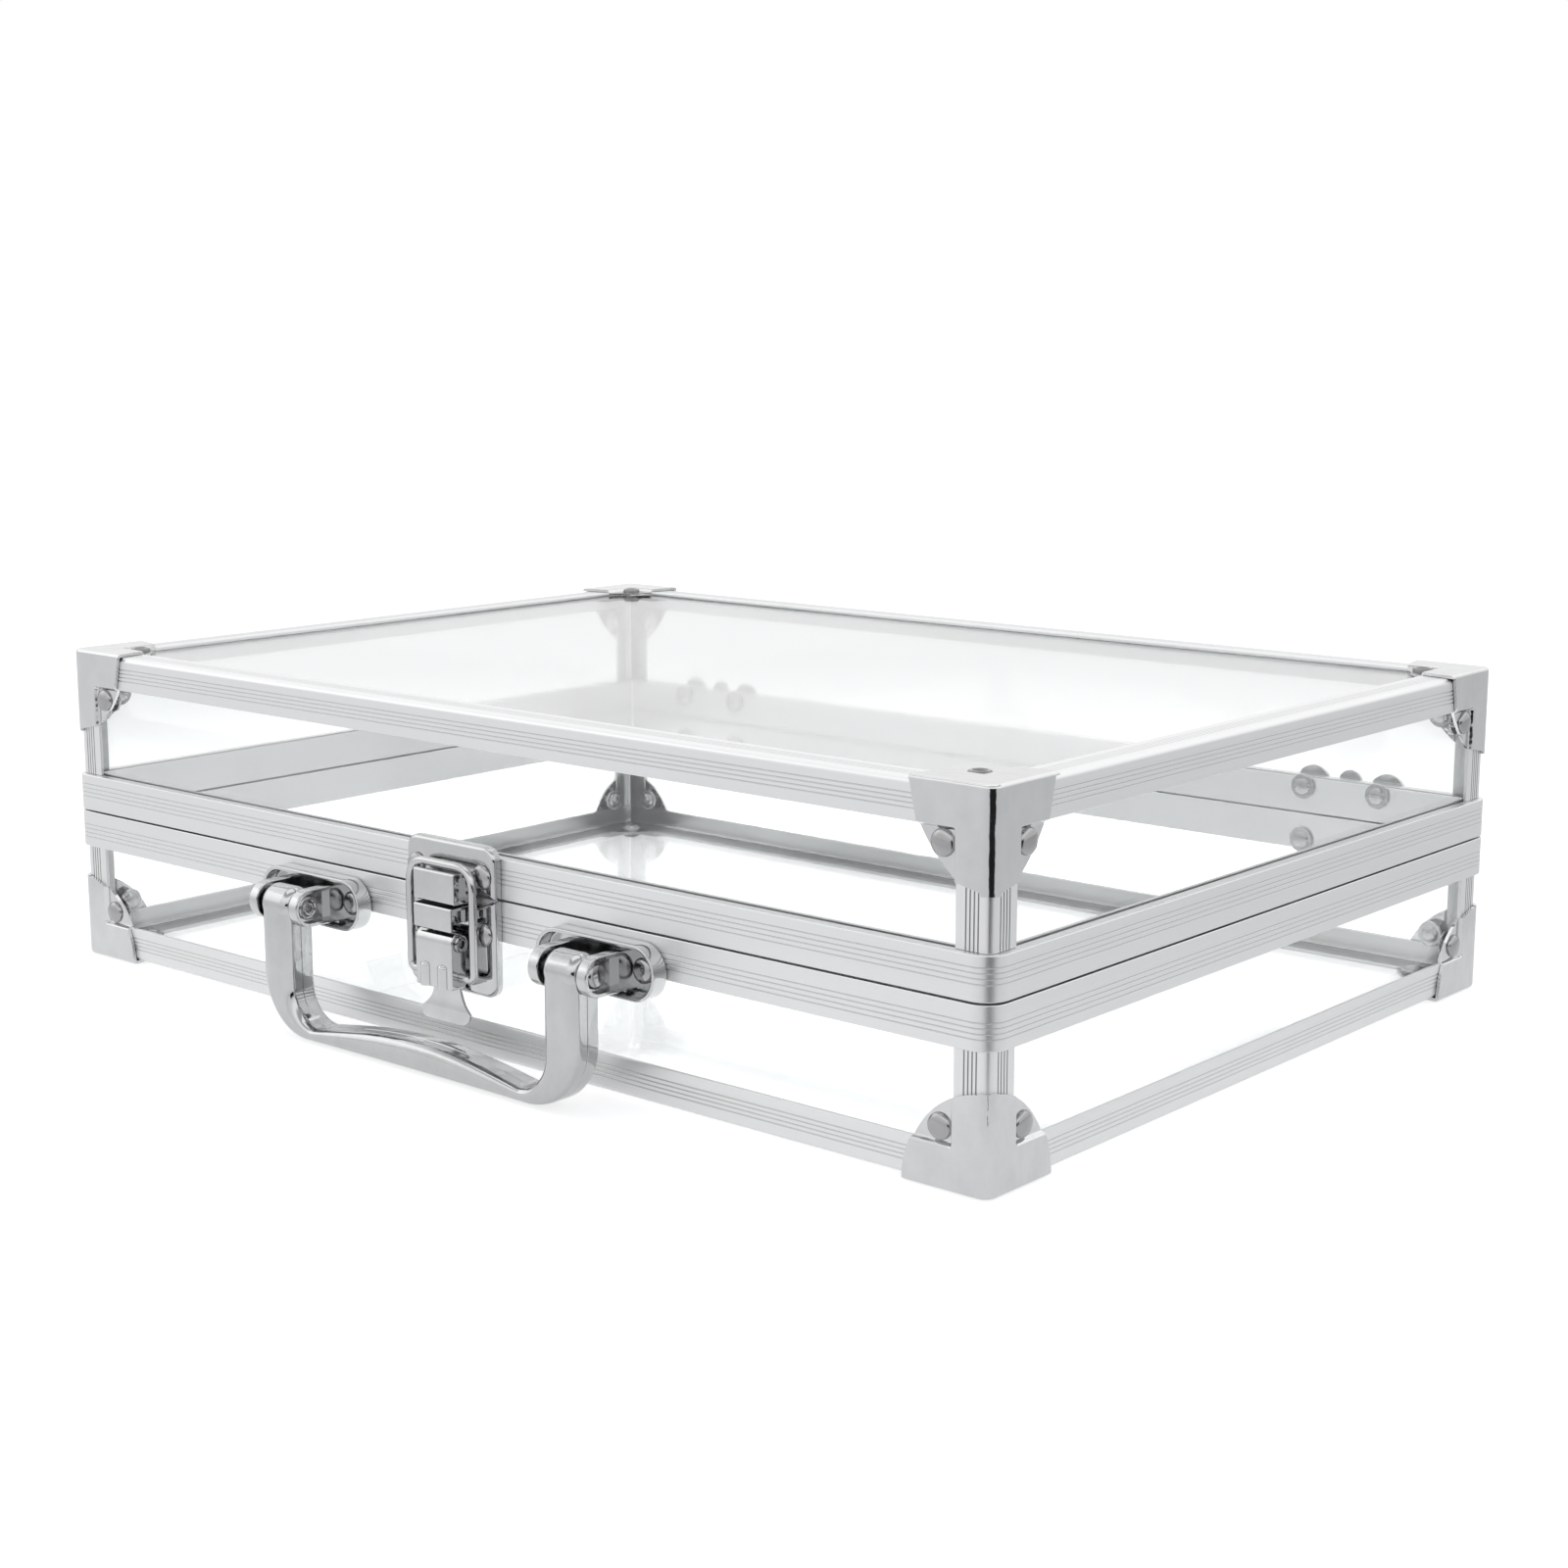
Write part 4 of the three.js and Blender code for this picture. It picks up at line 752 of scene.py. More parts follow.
def domed_rivet(name, origin, along, grip):
    """A domed head outside, the clinched end inside; along points inward from the head's seat."""
    head = [(RIVET_RADIUS * sin(radians(a)), -RIVET_HIGH * cos(radians(a)) ** 0.8) for a in range(0, 85, 9)]
    head += [(RIVET_RADIUS, -0.12), (RIVET_RADIUS - 0.12, 0)]
    return turned(name, head + clinched_end(grip), origin, along)


def tube_rivet(name, origin, along, grip):
    """A flared tube, open outward."""
    flare = [
        (0, TUBE_DEEP - TUBE_HIGH), (TUBE_BORE, TUBE_DEEP - TUBE_HIGH), (TUBE_BORE, -TUBE_HIGH + 0.45),
        (TUBE_BORE + 0.1, -TUBE_HIGH + 0.18), (TUBE_BORE + 0.35, -TUBE_HIGH), (TUBE_RIM, -TUBE_HIGH),
        (TUBE_RADIUS - 0.15, -TUBE_HIGH + 0.3), (TUBE_RADIUS, -0.6), (TUBE_RADIUS, 0),
    ]
    return turned(name, flare + clinched_end(grip), origin, along)


def joined(name, *parts):
    """Several bodies in one object, each left whole."""
    work = bmesh.new()
    for part in parts:
        work.from_mesh(part.data)
        bpy.data.objects.remove(part)
    mesh = bpy.data.meshes.new(name)
    work.to_mesh(mesh)
    work.free()
    return add_object(name, mesh)


def guard_rivets(name):
    """The three rivets of one guard, in the guard's own directions."""
    at = RIVET_INSET
    seat = STEP_DEEP
    grip = GUARD_SHEET + 2 * CLEARANCE + 3
    three = joined(
        name,
        domed_rivet("front", (at, seat, at), Y, grip),
        domed_rivet("side", (seat, at, at), X, grip),
        tube_rivet("outer", (at, at, seat), Z, grip),
    )
    # Painted shade: the tube rivet's bore and the outside of its flare take the dark second material.
    for face in three.data.polygons:
        from_axis = (face.center.xy - Vector((at, at))).length
        beside_rim = from_axis < TUBE_BORE + 0.3 or from_axis > TUBE_RIM
        painted_dark = beside_rim and from_axis < TUBE_RADIUS and -0.1 < face.center.z < seat + 1
        face.material_index = 1 if painted_dark else 0
    return three


def set_at_corner(pattern, name, sx, sy, half):
    """A copy of a corner piece, mirrored to face its own corner."""
    piece = add_object(name, pattern.data.copy())
    flip = (-sx, -sy, -OUTWARD[half])
    place = (
        sx * (HALF_LENGTH + GUARD_STANDOFF),
        sy * (HALF_WIDTH + GUARD_STANDOFF),
        OUTER_FACE[half] + OUTWARD[half] * GUARD_STANDOFF,
    )
    piece.data.transform(Matrix.Translation(place) @ Matrix.Diagonal((*flip, 1)))
    if flip[0] * flip[1] * flip[2] < 0:
        piece.data.flip_normals()
    return piece


def polished_nickel(name, tone, smooth, rough, dents):
    """Plated steel: nearly a mirror, a little wavy from the press, with wiped haze."""
    material, tree, shader, position = new_finish(name)
    waves = stretched_noise(tree, position, (95, 95, 95), 3, 0.5)
    wipes = stretched_noise(tree, position, (150, 220, 110), 5, 0.6)
    shader.inputs["Metallic"].default_value = 1
    low = tuple(channel * 0.8 for channel in tone)
    wire(tree, between(tree, wipes, low, tone), shader.inputs["Base Color"])
    wire(tree, spread(tree, wipes, smooth, rough), shader.inputs["Roughness"])
    relief(tree, shader, waves, dents, 0.8)
    return material


guard_nickel = polished_nickel("polished guard nickel", (0.69, 0.695, 0.7), 0.04, 0.14, 0.0005)
rivet_nickel = polished_nickel("rivet nickel", (0.43, 0.43, 0.435), 0.1, 0.2, 0.00002)
patterns = {
    "lid": pressed_guard("top_guard_pattern", top_outline),
    "base": pressed_guard("bottom_guard_pattern", bottom_outline),
}
rivet_pattern = guard_rivets("guard_rivet_pattern")
for half in ("base", "lid"):
    for sx, sy, corner in CORNERS:
        name = f"{half}_{corner}_guard"
        guard = set_at_corner(patterns[half], name + "_pressed", sx, sy, half)
        mount(guard, half, "guards", [guard_nickel], name)
        rivets = set_at_corner(rivet_pattern, name + "_rivets", sx, sy, half)
        mount(rivets, half, "rivets", [rivet_nickel, deep_painted_shade])
for pattern in (*patterns.values(), rivet_pattern):
    bpy.data.objects.remove(pattern)

# Hinges: pressed steel leaves at the back, one on each rim channel, with two riveted lobes and a
# small peak between them. Their knuckles share a plain pin.
HINGE_X = 134
LEAF_SHEET = 1.2
LOBE_SPACING = 26
LOBE_RADIUS = 6
HINGE_RIVET_RISE = 8.7
PEAK_RADIUS = 4
PEAK_RISE = 10.5
PIN_STANDOFF = 3
KNUCKLE_RADIUS = 2.3
KNUCKLE_LONG = 8.4
KNUCKLE_GAP = 0.3
HINGE_PIN_RADIUS = 1.2
PIN_FIT = 0.06
leaf_front = band_back + CLEARANCE
leaf_back = leaf_front + LEAF_SHEET
hinge_axis = band_back + PIN_STANDOFF


def block(name, x0, x1, y0, y1, z0, z1):
    """A square block, to be cut or rounded."""
    return drawn_out(name, [(x0, y0), (x1, y0), (x1, y1), (x0, y1)], "z", z0, z1)


def disc(name, axis, start, end, center, radius, steps=40):
    """A round bar along x, y or z; center gives its two other coordinates."""
    return drawn_out(name, arc(*center, radius, 0, 360 * (steps - 1) / steps, steps - 1), axis, start, end)


def drill(piece, axis, start, end, center, radius, steps=40):
    """Takes a round hole out of a piece."""
    return pull(piece, "DIFFERENCE", disc("bore", axis, start, end, center, radius, steps))


def band_rivet(name, x, z, side, head_y):
    """A rivet through the band and its pane, with its head at the given y."""
    grip = abs(head_y) - (band_back - BAND_THICK - CLEARANCE)
    return domed_rivet(name, (x, head_y, z), (0, -side, 0), grip)


def hinge_leaf(name, middle, out, knuckles):
    """A leaf with its own knuckles, bored for the pin."""
    near = SEAM + out * KNUCKLE_GAP
    rivet_z = SEAM + out * HINGE_RIVET_RISE
    reach = LOBE_SPACING / 2 + LOBE_RADIUS
    low, high = sorted((near, rivet_z))
    leaf = block(name, middle - reach, middle + reach, leaf_front, leaf_back, low, high)
    for x in (middle - LOBE_SPACING / 2, middle + LOBE_SPACING / 2):
        pull(leaf, "UNION", disc("lobe", "y", leaf_front, leaf_back, (x, rivet_z), LOBE_RADIUS))
    peak = (middle, SEAM + out * PEAK_RISE)
    pull(leaf, "UNION", disc("peak", "y", leaf_front, leaf_back, peak, PEAK_RADIUS))
    axis = (hinge_axis, SEAM)
    drill(leaf, "x", middle - 30, middle + 30, axis, KNUCKLE_RADIUS + KNUCKLE_GAP)
    ease(leaf, 0.25, 2, 50)
    for start, end in knuckles:
        roll = disc("roll", "x", middle + start, middle + end, axis, KNUCKLE_RADIUS)
        low, high = sorted((near, SEAM + out * KNUCKLE_RADIUS))
        web = block("web", middle + start, middle + end, leaf_front, hinge_axis, low, high)
        pull(leaf, "UNION", pull(roll, "UNION", web))
    return drill(leaf, "x", middle - 30, middle + 30, axis, HINGE_PIN_RADIUS + PIN_FIT)


hinge_nickel = polished_nickel("hinge nickel", (0.6, 0.605, 0.61), 0.12, 0.28, 0.0001)
pin_steel = polished_nickel("pin steel", (0.5, 0.5, 0.505), 0.2, 0.34, 0.00002)
inner_end = KNUCKLE_LONG / 2
outer_end = inner_end + KNUCKLE_GAP + KNUCKLE_LONG
middle_knuckle = [(-inner_end, inner_end)]
outer_knuckles = [(-outer_end, -inner_end - KNUCKLE_GAP), (inner_end + KNUCKLE_GAP, outer_end)]
for side, sign in (("left", -1), ("right", 1)):
    middle = sign * HINGE_X
    for half, knuckles in (("lid", middle_knuckle), ("base", outer_knuckles)):
        name = f"{side}_hinge_{half}_leaf"
        out = OUTWARD[half]
        leaf = hinge_leaf(name + "_pressed", middle, out, knuckles)
        mount(leaf, half, "hinges", [hinge_nickel], name)
        rivet_z = SEAM + out * HINGE_RIVET_RISE
        places = (middle - LOBE_SPACING / 2, middle + LOBE_SPACING / 2)
        pair = joined(name + "_rivets", *[band_rivet("rivet", x, rivet_z, 1, leaf_back) for x in places])
        mount(pair, half, "rivets", [rivet_nickel])
    name = f"{side}_hinge_pin"
    tip = 0.3
    length = outer_end + CLEARANCE
    ends = [(0, -length), (HINGE_PIN_RADIUS - tip, -length), (HINGE_PIN_RADIUS, -length + tip),
            (HINGE_PIN_RADIUS, length - tip), (HINGE_PIN_RADIUS - tip, length), (0, length)]
    pin = turned(name + "_turned", ends, (middle, hinge_axis, SEAM), X, 24)
    mount(pin, "base", "pins", [pin_steel], name)

# Latch plates: a keeper above the seam and a plate below it, pressed from 1 mm steel with rims
# turned back to the bands. A square hook is folded out of the keeper; the plate carries a housing
# under it and two lugs for the lever.
LATCH_HALF = 17.75
LATCH_SHEET = 1
LATCH_DEEP = 2.8
LATCH_CORNER = 4
LATCH_GAP = 0.3
KEEPER_TOP = SEAM + 14.8
PLATE_BOTTOM = SEAM - 27.7
LATCH_RIVET_X = 13.3
KEEPER_RIVET_Z = SEAM + 6.3
PLATE_RIVET_Z = SEAM - 9.8
HOOK_HALF = 8.2
HOOK_TOP = SEAM + 7.05
HOOK_LIP = 0.3
HOOK_NOSE = SEAM - 1.6
HOOK_DEEP = 6.2
HOOK_FOLD = 1.2
HOUSING_HALF = 7.6
HOUSING_DEEP = 6.9
HOUSING_LIP = 2.15
HOUSING_TOP = HOOK_NOSE - 0.7
HOUSING_BOTTOM = HOUSING_TOP - 4.7
LEVER_PIN_Z = HOUSING_BOTTOM - 5.8
LEVER_PIN_RADIUS = 1.2
LEVER_PIN_FIT = 0.07
LUG_RADIUS = 2.3
LUG_WEB_RISE = 0.9
LUG_OUTER = 6.05
LUG_INNER = 5.05
NOTCH_RISE = 1.9
latch_face = band_front - LATCH_DEEP
hook_face = latch_face - HOOK_DEEP
housing_face = latch_face - HOUSING_DEEP
latch_back = band_front - CLEARANCE
lever_y = latch_face - CLEARANCE - RIVET_HIGH - 0.5 - 1.2


def latch_outline(seam_z, far_z, inset):
    """A plate with round outer corners; its edge at the seam dips away towards the hook."""
    half = LATCH_HALF - inset
    radius = LATCH_CORNER - inset
    up = 1 if far_z > seam_z else -1
    far = far_z - up * inset
    near = seam_z + up * inset
    corner = [(half - radius + radius * cos(radians(a)), far - up * radius * (1 - sin(radians(a))))
              for a in range(0, 91, 10)]
    seam_edge = [(10.2, near + up * NOTCH_RISE), (11.5, near + up * NOTCH_RISE * 0.92),
                 (13.5, near + up * NOTCH_RISE * 0.6), (15.6, near + up * NOTCH_RISE * 0.2),
                 (half, near)]
    right = seam_edge + corner
    return right + [(-x, z) for x, z in reversed(right)]


def pressed_tray(name, seam_z, far_z):
    """A plate with a soft rim turned back to the band."""
    up = 1 if far_z > seam_z else -1
    edge = 1.3
    rings = []
    for a in range(0, 91, 18):
        inset = edge * (1 - sin(radians(a)))
        y = latch_face + edge * (1 - cos(radians(a)))
        rings.append([(x, y, z) for x, z in latch_outline(seam_z, far_z, inset)])
    rings.append([(x, latch_back, z) for x, z in latch_outline(seam_z, far_z, 0)])
    rings.append([(x, latch_back, z) for x, z in latch_outline(seam_z, far_z, LATCH_SHEET)])
    inside = latch_face + LATCH_SHEET
    rings.append([(x, inside, z) for x, z in latch_outline(seam_z, far_z, LATCH_SHEET)])
    return skinned(name, rings)


latch_nickel = polished_nickel("latch nickel", (0.6, 0.605, 0.61), 0.04, 0.13, 0.00015)
# Painted shade: near-black metal for the gaps under the hook and round the housing.
latch_shadow = painted_shade_metal("latch painted shade", 0.03, 0.06)
keeper = pressed_tray("latch_keeper_pressed", SEAM + LATCH_GAP, KEEPER_TOP)
hook_profile = (
    [(latch_face + 0.6, SEAM + 0.3), (latch_face - 0.5, SEAM + 0.3), (latch_face - 0.5, HOOK_NOSE + 0.5),
     (latch_face - 1.0, HOOK_NOSE)]
    + arc(hook_face + 0.7, HOOK_NOSE + 0.7, 0.7, 270, 180, 4)
    + arc(hook_face + 0.75, HOOK_TOP + HOOK_LIP - 0.75, 0.75, 180, 90, 5)
    + [(hook_face + 1.3, HOOK_TOP + HOOK_LIP), (hook_face + 1.7, HOOK_TOP - 0.1),
       (latch_face + 0.6, HOOK_TOP - 0.1)]
)
hook = ease(drawn_out("hook", hook_profile, "x", -HOOK_HALF, HOOK_HALF), 0.35, 3, 60)
for start, end in ((-HOOK_HALF - 1, -HOOK_HALF + 1.4), (HOOK_HALF - 1.4, HOOK_HALF + 1)):
    fold = block("fold", start, end, hook_face + HOOK_FOLD, latch_face - 1.6, HOOK_NOSE + HOOK_FOLD,
                 HOOK_TOP - HOOK_FOLD)
    pull(hook, "DIFFERENCE", fold)
pull(keeper, "UNION", hook)
for x in (-LATCH_RIVET_X, LATCH_RIVET_X):
    drill(keeper, "y", latch_face - 5, latch_face + 5, (x, KEEPER_RIVET_Z), RIVET_HOLE)
# Painted shade: the hook's downward faces take the near-black second material.
for face in keeper.data.polygons:
    if face.normal.z < -0.7 and face.center.y < latch_face - 0.2:
        face.material_index = 1
mount(keeper, "lid", "latch", [latch_nickel, latch_shadow], "latch_keeper")

plate = pressed_tray("latch_plate_pressed", SEAM - LATCH_GAP, PLATE_BOTTOM)
housing_outline = (
    [(latch_face + 0.6, HOUSING_BOTTOM), (housing_face + 0.8, HOUSING_BOTTOM),
     (housing_face + 0.8, HOUSING_BOTTOM - HOUSING_LIP)]
    + arc(housing_face + 0.35, HOUSING_BOTTOM - HOUSING_LIP + 0.35, 0.35, 270, 180, 3)
    + arc(housing_face + 0.8, HOUSING_TOP - 0.8, 0.8, 180, 90, 5)
    + [(latch_face + 0.6, HOUSING_TOP)]
)
housing = ease(drawn_out("housing", housing_outline, "x", -HOUSING_HALF, HOUSING_HALF), 0.3, 3, 60)
for start, end in ((-HOUSING_HALF - 1, -HOUSING_HALF + 0.9), (HOUSING_HALF - 0.9, HOUSING_HALF + 1)):
    fold = block("fold", start, end, housing_face + 1.5, latch_face - 1.4, HOUSING_BOTTOM - 1,
                 HOUSING_TOP - 1)
    pull(housing, "DIFFERENCE", fold)
pull(plate, "UNION", housing)
for sign in (-1, 1):
    start, end = sorted((sign * LUG_INNER, sign * LUG_OUTER))
    lug_outline = [(latch_face + 0.5, LEVER_PIN_Z + LUG_WEB_RISE)]
    lug_outline += arc(lever_y, LEVER_PIN_Z, LUG_RADIUS, 23, 270, 18)
    lug_outline += [(latch_face + 0.5, LEVER_PIN_Z - LUG_RADIUS)]
    pull(plate, "UNION", drawn_out("lug", lug_outline, "x", start, end))
drill(plate, "x", -9, 9, (lever_y, LEVER_PIN_Z), LEVER_PIN_RADIUS + LEVER_PIN_FIT, 24)
for x in (-LATCH_RIVET_X, LATCH_RIVET_X):
    drill(plate, "y", latch_face - 5, latch_face + 5, (x, PLATE_RIVET_Z), RIVET_HOLE)
# Painted shade: the housing's top, in the gap under the hook, and the undersides of its lip take the
# near-black second material.
for face in plate.data.polygons:
    over_housing = face.normal.z > 0.7 and face.center.z > HOUSING_TOP - 0.2
    under_lip = face.normal.z < -0.5 and face.center.z > HOUSING_BOTTOM - HOUSING_LIP - 0.2
    if face.center.y < latch_face - 0.2 and (over_housing or under_lip):
        face.material_index = 1
mount(plate, "base", "latch", [latch_nickel, latch_shadow], "latch_plate")

for half, z in (("lid", KEEPER_RIVET_Z), ("base", PLATE_RIVET_Z)):
    for side, x in (("left", -LATCH_RIVET_X), ("right", LATCH_RIVET_X)):
        name = f"latch_{half}_{side}_rivet"
        rivet = band_rivet(name + "_turned", x, z, -1, latch_face - CLEARANCE)
        mount(rivet, half, "rivets", [rivet_nickel], name)

# Latch lever: a front sheet with a rolled top edge and two flanges turned back, two short ribs
# pressed into its foot, and a scooped tongue for the thumb. A hollow rivet is its pin.
LEVER_HALF = 7.35
LEVER_SHEET = 0.8
LEVER_TOP_RADIUS = LUG_RADIUS + 0.3 + LEVER_SHEET
LEVER_TOP_TURN = 60
LEVER_BOTTOM = LEVER_PIN_Z - 12.7
BAIL_LOW = LEVER_PIN_Z - 9.6
FLANGE_BACK = 2.2
RIB_TOP = LEVER_BOTTOM + 7
RIB_RADIUS = 1.9
RIB_X = 3.5
TONGUE_HALF = 5.2
TONGUE_FLARE = 4.6
TONGUE_DROP = 10.5
TONGUE_SETBACK = 1
TONGUE_KICK = 0.1
TONGUE_SCOOP = 0.8
TONGUE_CORNER = 3
PIN_HEAD_RADIUS = 2.4
PIN_HEAD = 0.8
lever_face = lever_y - LEVER_TOP_RADIUS
sheet_back = lever_face + LEVER_SHEET
flange_end = lever_y + FLANGE_BACK
roll_end = 180 - LEVER_TOP_TURN

lever_side = (
    [(flange_end - 1, LEVER_BOTTOM), (flange_end, LEVER_BOTTOM + 1), (flange_end, LEVER_PIN_Z)]
    + arc(lever_y, LEVER_PIN_Z, FLANGE_BACK, 0, 90, 8)
    + arc(lever_y, LEVER_PIN_Z, LEVER_TOP_RADIUS, roll_end, 180, 10)
    + [(lever_face, LEVER_BOTTOM)]
)
lever_inside = (
    [(flange_end + 3, LEVER_BOTTOM - 2), (flange_end + 3, LEVER_PIN_Z + 8)]
    + arc(lever_y, LEVER_PIN_Z, 8, roll_end, roll_end + 1, 1)
    + arc(lever_y, LEVER_PIN_Z, LEVER_TOP_RADIUS - LEVER_SHEET, roll_end, 180, 10)
    + [(sheet_back, LEVER_BOTTOM - 2)]
)
lever = ease(drawn_out("latch_lever_pressed", lever_side, "x", -LEVER_HALF, LEVER_HALF), 0.4, 3, 60)
inner_half = LEVER_HALF - LEVER_SHEET
pull(lever, "DIFFERENCE", drawn_out("inside", lever_inside, "x", -inner_half, inner_half))
for x in (-RIB_X, RIB_X):
    rib_profile = [(0, LEVER_BOTTOM + 0.05), (RIB_RADIUS, LEVER_BOTTOM + 0.05), (RIB_RADIUS, RIB_TOP - 1.2)]
    rib_profile += [(RIB_RADIUS * cos(radians(a)), RIB_TOP - 1.2 + 1.2 * sin(radians(a)))
                    for a in range(15, 91, 15)]
    rib = turned("rib", rib_profile, (x, sheet_back - 0.1, 0), Z, 24)
    shave = block("shave", x - 3, x + 3, sheet_back - 0.05, sheet_back + 4, LEVER_BOTTOM - 1, RIB_TOP + 1)
    pull(lever, "UNION", pull(rib, "DIFFERENCE", shave))

tongue_top = LEVER_BOTTOM + LEVER_SHEET
tongue_bottom = LEVER_BOTTOM - TONGUE_DROP
tongue_middle = (tongue_top + tongue_bottom) / 2
top_y = lever_y + TONGUE_SETBACK
end_y = lever_y - TONGUE_KICK
scoop_y = (top_y + end_y) / 2 + 2 * TONGUE_SCOOP
curl_profile = quadratic((top_y, tongue_top), (scoop_y, tongue_middle), (end_y, tongue_bottom), 14)
curl_profile += [(y + LEVER_SHEET, z) for y, z in reversed(curl_profile)]
end_half = TONGUE_HALF + TONGUE_FLARE
right_edge = quadratic((TONGUE_HALF, tongue_top), (TONGUE_HALF, tongue_middle),
                       (end_half, tongue_bottom + TONGUE_CORNER), 10)
right_edge += quadratic((end_half, tongue_bottom + TONGUE_CORNER), (end_half, tongue_bottom),
                        (end_half - TONGUE_CORNER, tongue_bottom), 8)[1:]
tongue_outline = right_edge + [(-x, z) for x, z in reversed(right_edge)]
tongue = drawn_out("tongue", curl_profile, "x", -end_half - 1, end_half + 1)
pull(tongue, "INTERSECT", drawn_out("face", tongue_outline, "y", lever_face, latch_face + 3))
ease(tongue, 0.25, 2, 50)
shelf = block("shelf", -LEVER_HALF + 0.2, LEVER_HALF - 0.2, lever_face + 0.1, top_y + LEVER_SHEET,
              LEVER_BOTTOM, tongue_top)
pull(lever, "UNION", shelf, tongue)
for z in (LEVER_PIN_Z, BAIL_LOW):
    drill(lever, "x", -9, 9, (lever_y, z), LEVER_PIN_RADIUS + LEVER_PIN_FIT, 24)
mount(lever, "latch_lever", "latch", [latch_nickel], "latch_lever")

head_start = LEVER_HALF + CLEARANCE
head_end = head_start + PIN_HEAD
half_pin = [
    (1.0, head_end - 1.6), (1.05, head_end - 0.3), (1.2, head_end - 0.04), (1.5, head_end),
    (2.1, head_end - 0.12), (PIN_HEAD_RADIUS, head_end - 0.4), (PIN_HEAD_RADIUS, head_start),
    (LEVER_PIN_RADIUS, head_start),
]
pin_profile = [(0, -head_end + 1.6)] + [(r, -x) for r, x in half_pin] + list(reversed(half_pin))
pin_profile += [(0, head_end - 1.6)]
lever_pin = turned("latch_lever_pin_turned", pin_profile, (0, lever_y, LEVER_PIN_Z), X)
mount(lever_pin, "base", "pins", [rivet_nickel], "latch_lever_pin")

# Bail: one length of 2.4 mm spring wire, bent to hook over the keeper and turned in at its feet,
# which sit in the lever's flanges and pull the lid down as the lever closes.
BAIL_RADIUS = 1.2
BAIL_HALF = 12.8
BAIL_CORNER = 6.5
BAIL_FOOT = 2
bail_top = HOOK_TOP + HOOK_LIP + 0.35 + BAIL_RADIUS
bail_end = LEVER_HALF - LEVER_SHEET - 1.2


def swept_wire(name, path, radius, steps=20):
    """A round wire along a flat path in x and z, closed at its ends."""
    rings = []
    for i, (x, z) in enumerate(path):
        before = Vector(path[max(i - 1, 0)])
        after = Vector(path[min(i + 1, len(path) - 1)])
        forward = (after - before).normalized()
        side = Vector((forward.y, -forward.x))
        ring = []
        for j in range(steps):
            a = 2 * pi * j / steps
            ring.append((x + side.x * radius * cos(a), lever_y + radius * sin(a),
                         z + side.y * radius * cos(a)))
        rings.append(ring)
    return skinned(name, rings)


half_path = [(0, bail_top)]
half_path += quadratic((BAIL_HALF - BAIL_CORNER, bail_top), (BAIL_HALF, bail_top),
                       (BAIL_HALF, bail_top - BAIL_CORNER), 10)
half_path += quadratic((BAIL_HALF, BAIL_LOW + BAIL_FOOT), (BAIL_HALF, BAIL_LOW),
                       (BAIL_HALF - BAIL_FOOT, BAIL_LOW), 8)
half_path += [(bail_end, BAIL_LOW)]
bail_path = [(-x, z) for x, z in reversed(half_path[1:])] + half_path
bail = swept_wire("latch_bail_wire", bail_path, BAIL_RADIUS)
wire_steel = polished_nickel("bail wire", (0.6, 0.6, 0.605), 0.08, 0.2, 0.00003)
mount(bail, "latch_bail", "bail", [wire_steel], "latch_bail")

# Handle: a pressed steel bow, round in front and folded flat behind, with a seam along its side.
# It swells at the middle of the grip, and its two ends are boxed over the pins.
LEG_X = 58.2
LEG_HALF = 6.2
HANDLE_DEEP = 9.8
HANDLE_ROUND = 3.2
HANDLE_SEAM = 5.3
EYE_RADIUS = 5.6
EYE_ROUND = 2.8
HANDLE_PIN_Z = SEAM - 10
HANDLE_PIN_RADIUS = 2
HANDLE_BORE = HANDLE_PIN_RADIUS + PIN_FIT
HANDLE_BOTTOM = 0.3
OUTER_BEND = 18.5
INNER_BEND = 10.5
GRIP_END = 3.8
GRIP_MIDDLE = 8.2
handle_y = band_front - 13.6


def handle_section():
    """The bow's section as (share of its width, y): rounded front, side seam, chamfered back."""
    front = handle_y - EYE_RADIUS
    back = front + HANDLE_DEEP
    seam = front + HANDLE_SEAM
    left = [(0.07, back), (0.03, back - 0.25), (0, back - 0.9), (0, seam + 0.2), (0.02, seam + 0.08),
            (0.02, seam - 0.08), (0, seam - 0.2)]
    for a in range(0, 90, 6):
        across = cos(radians(a)) ** 0.77
        left.append((0.5 - across / 2, front + HANDLE_ROUND * (1 - sin(radians(a)) ** 0.77)))
    return left + [(0.5, front)] + [(1 - share, y) for share, y in reversed(left)]


def bow_edges():
    """Matching points on the bow's outer and inner curves, from the left pin to the right one."""
    outer_x = -LEG_X - LEG_HALF
    inner_x = -LEG_X + LEG_HALF
    grip_top = HANDLE_BOTTOM + GRIP_END
    stations = [((outer_x, HANDLE_PIN_Z), (inner_x, HANDLE_PIN_Z))]
    outer_bend = arc(outer_x + OUTER_BEND, HANDLE_BOTTOM + OUTER_BEND, OUTER_BEND, 180, 270, 18)
    inner_bend = arc(inner_x + INNER_BEND, grip_top + INNER_BEND, INNER_BEND, 180, 270, 18)
    stations += list(zip(outer_bend, inner_bend))
    for i in range(1, 17):
        share = i / 16
        swell = (GRIP_MIDDLE - GRIP_END) * sin(pi / 2 * share)
        outer = ((outer_x + OUTER_BEND) * (1 - share), HANDLE_BOTTOM)
        inner = ((inner_x + INNER_BEND) * (1 - share), grip_top + swell)
        stations.append((outer, inner))
    right = [((-o[0], o[1]), (-i[0], i[1])) for o, i in reversed(stations[:-1])]
    return stations + right


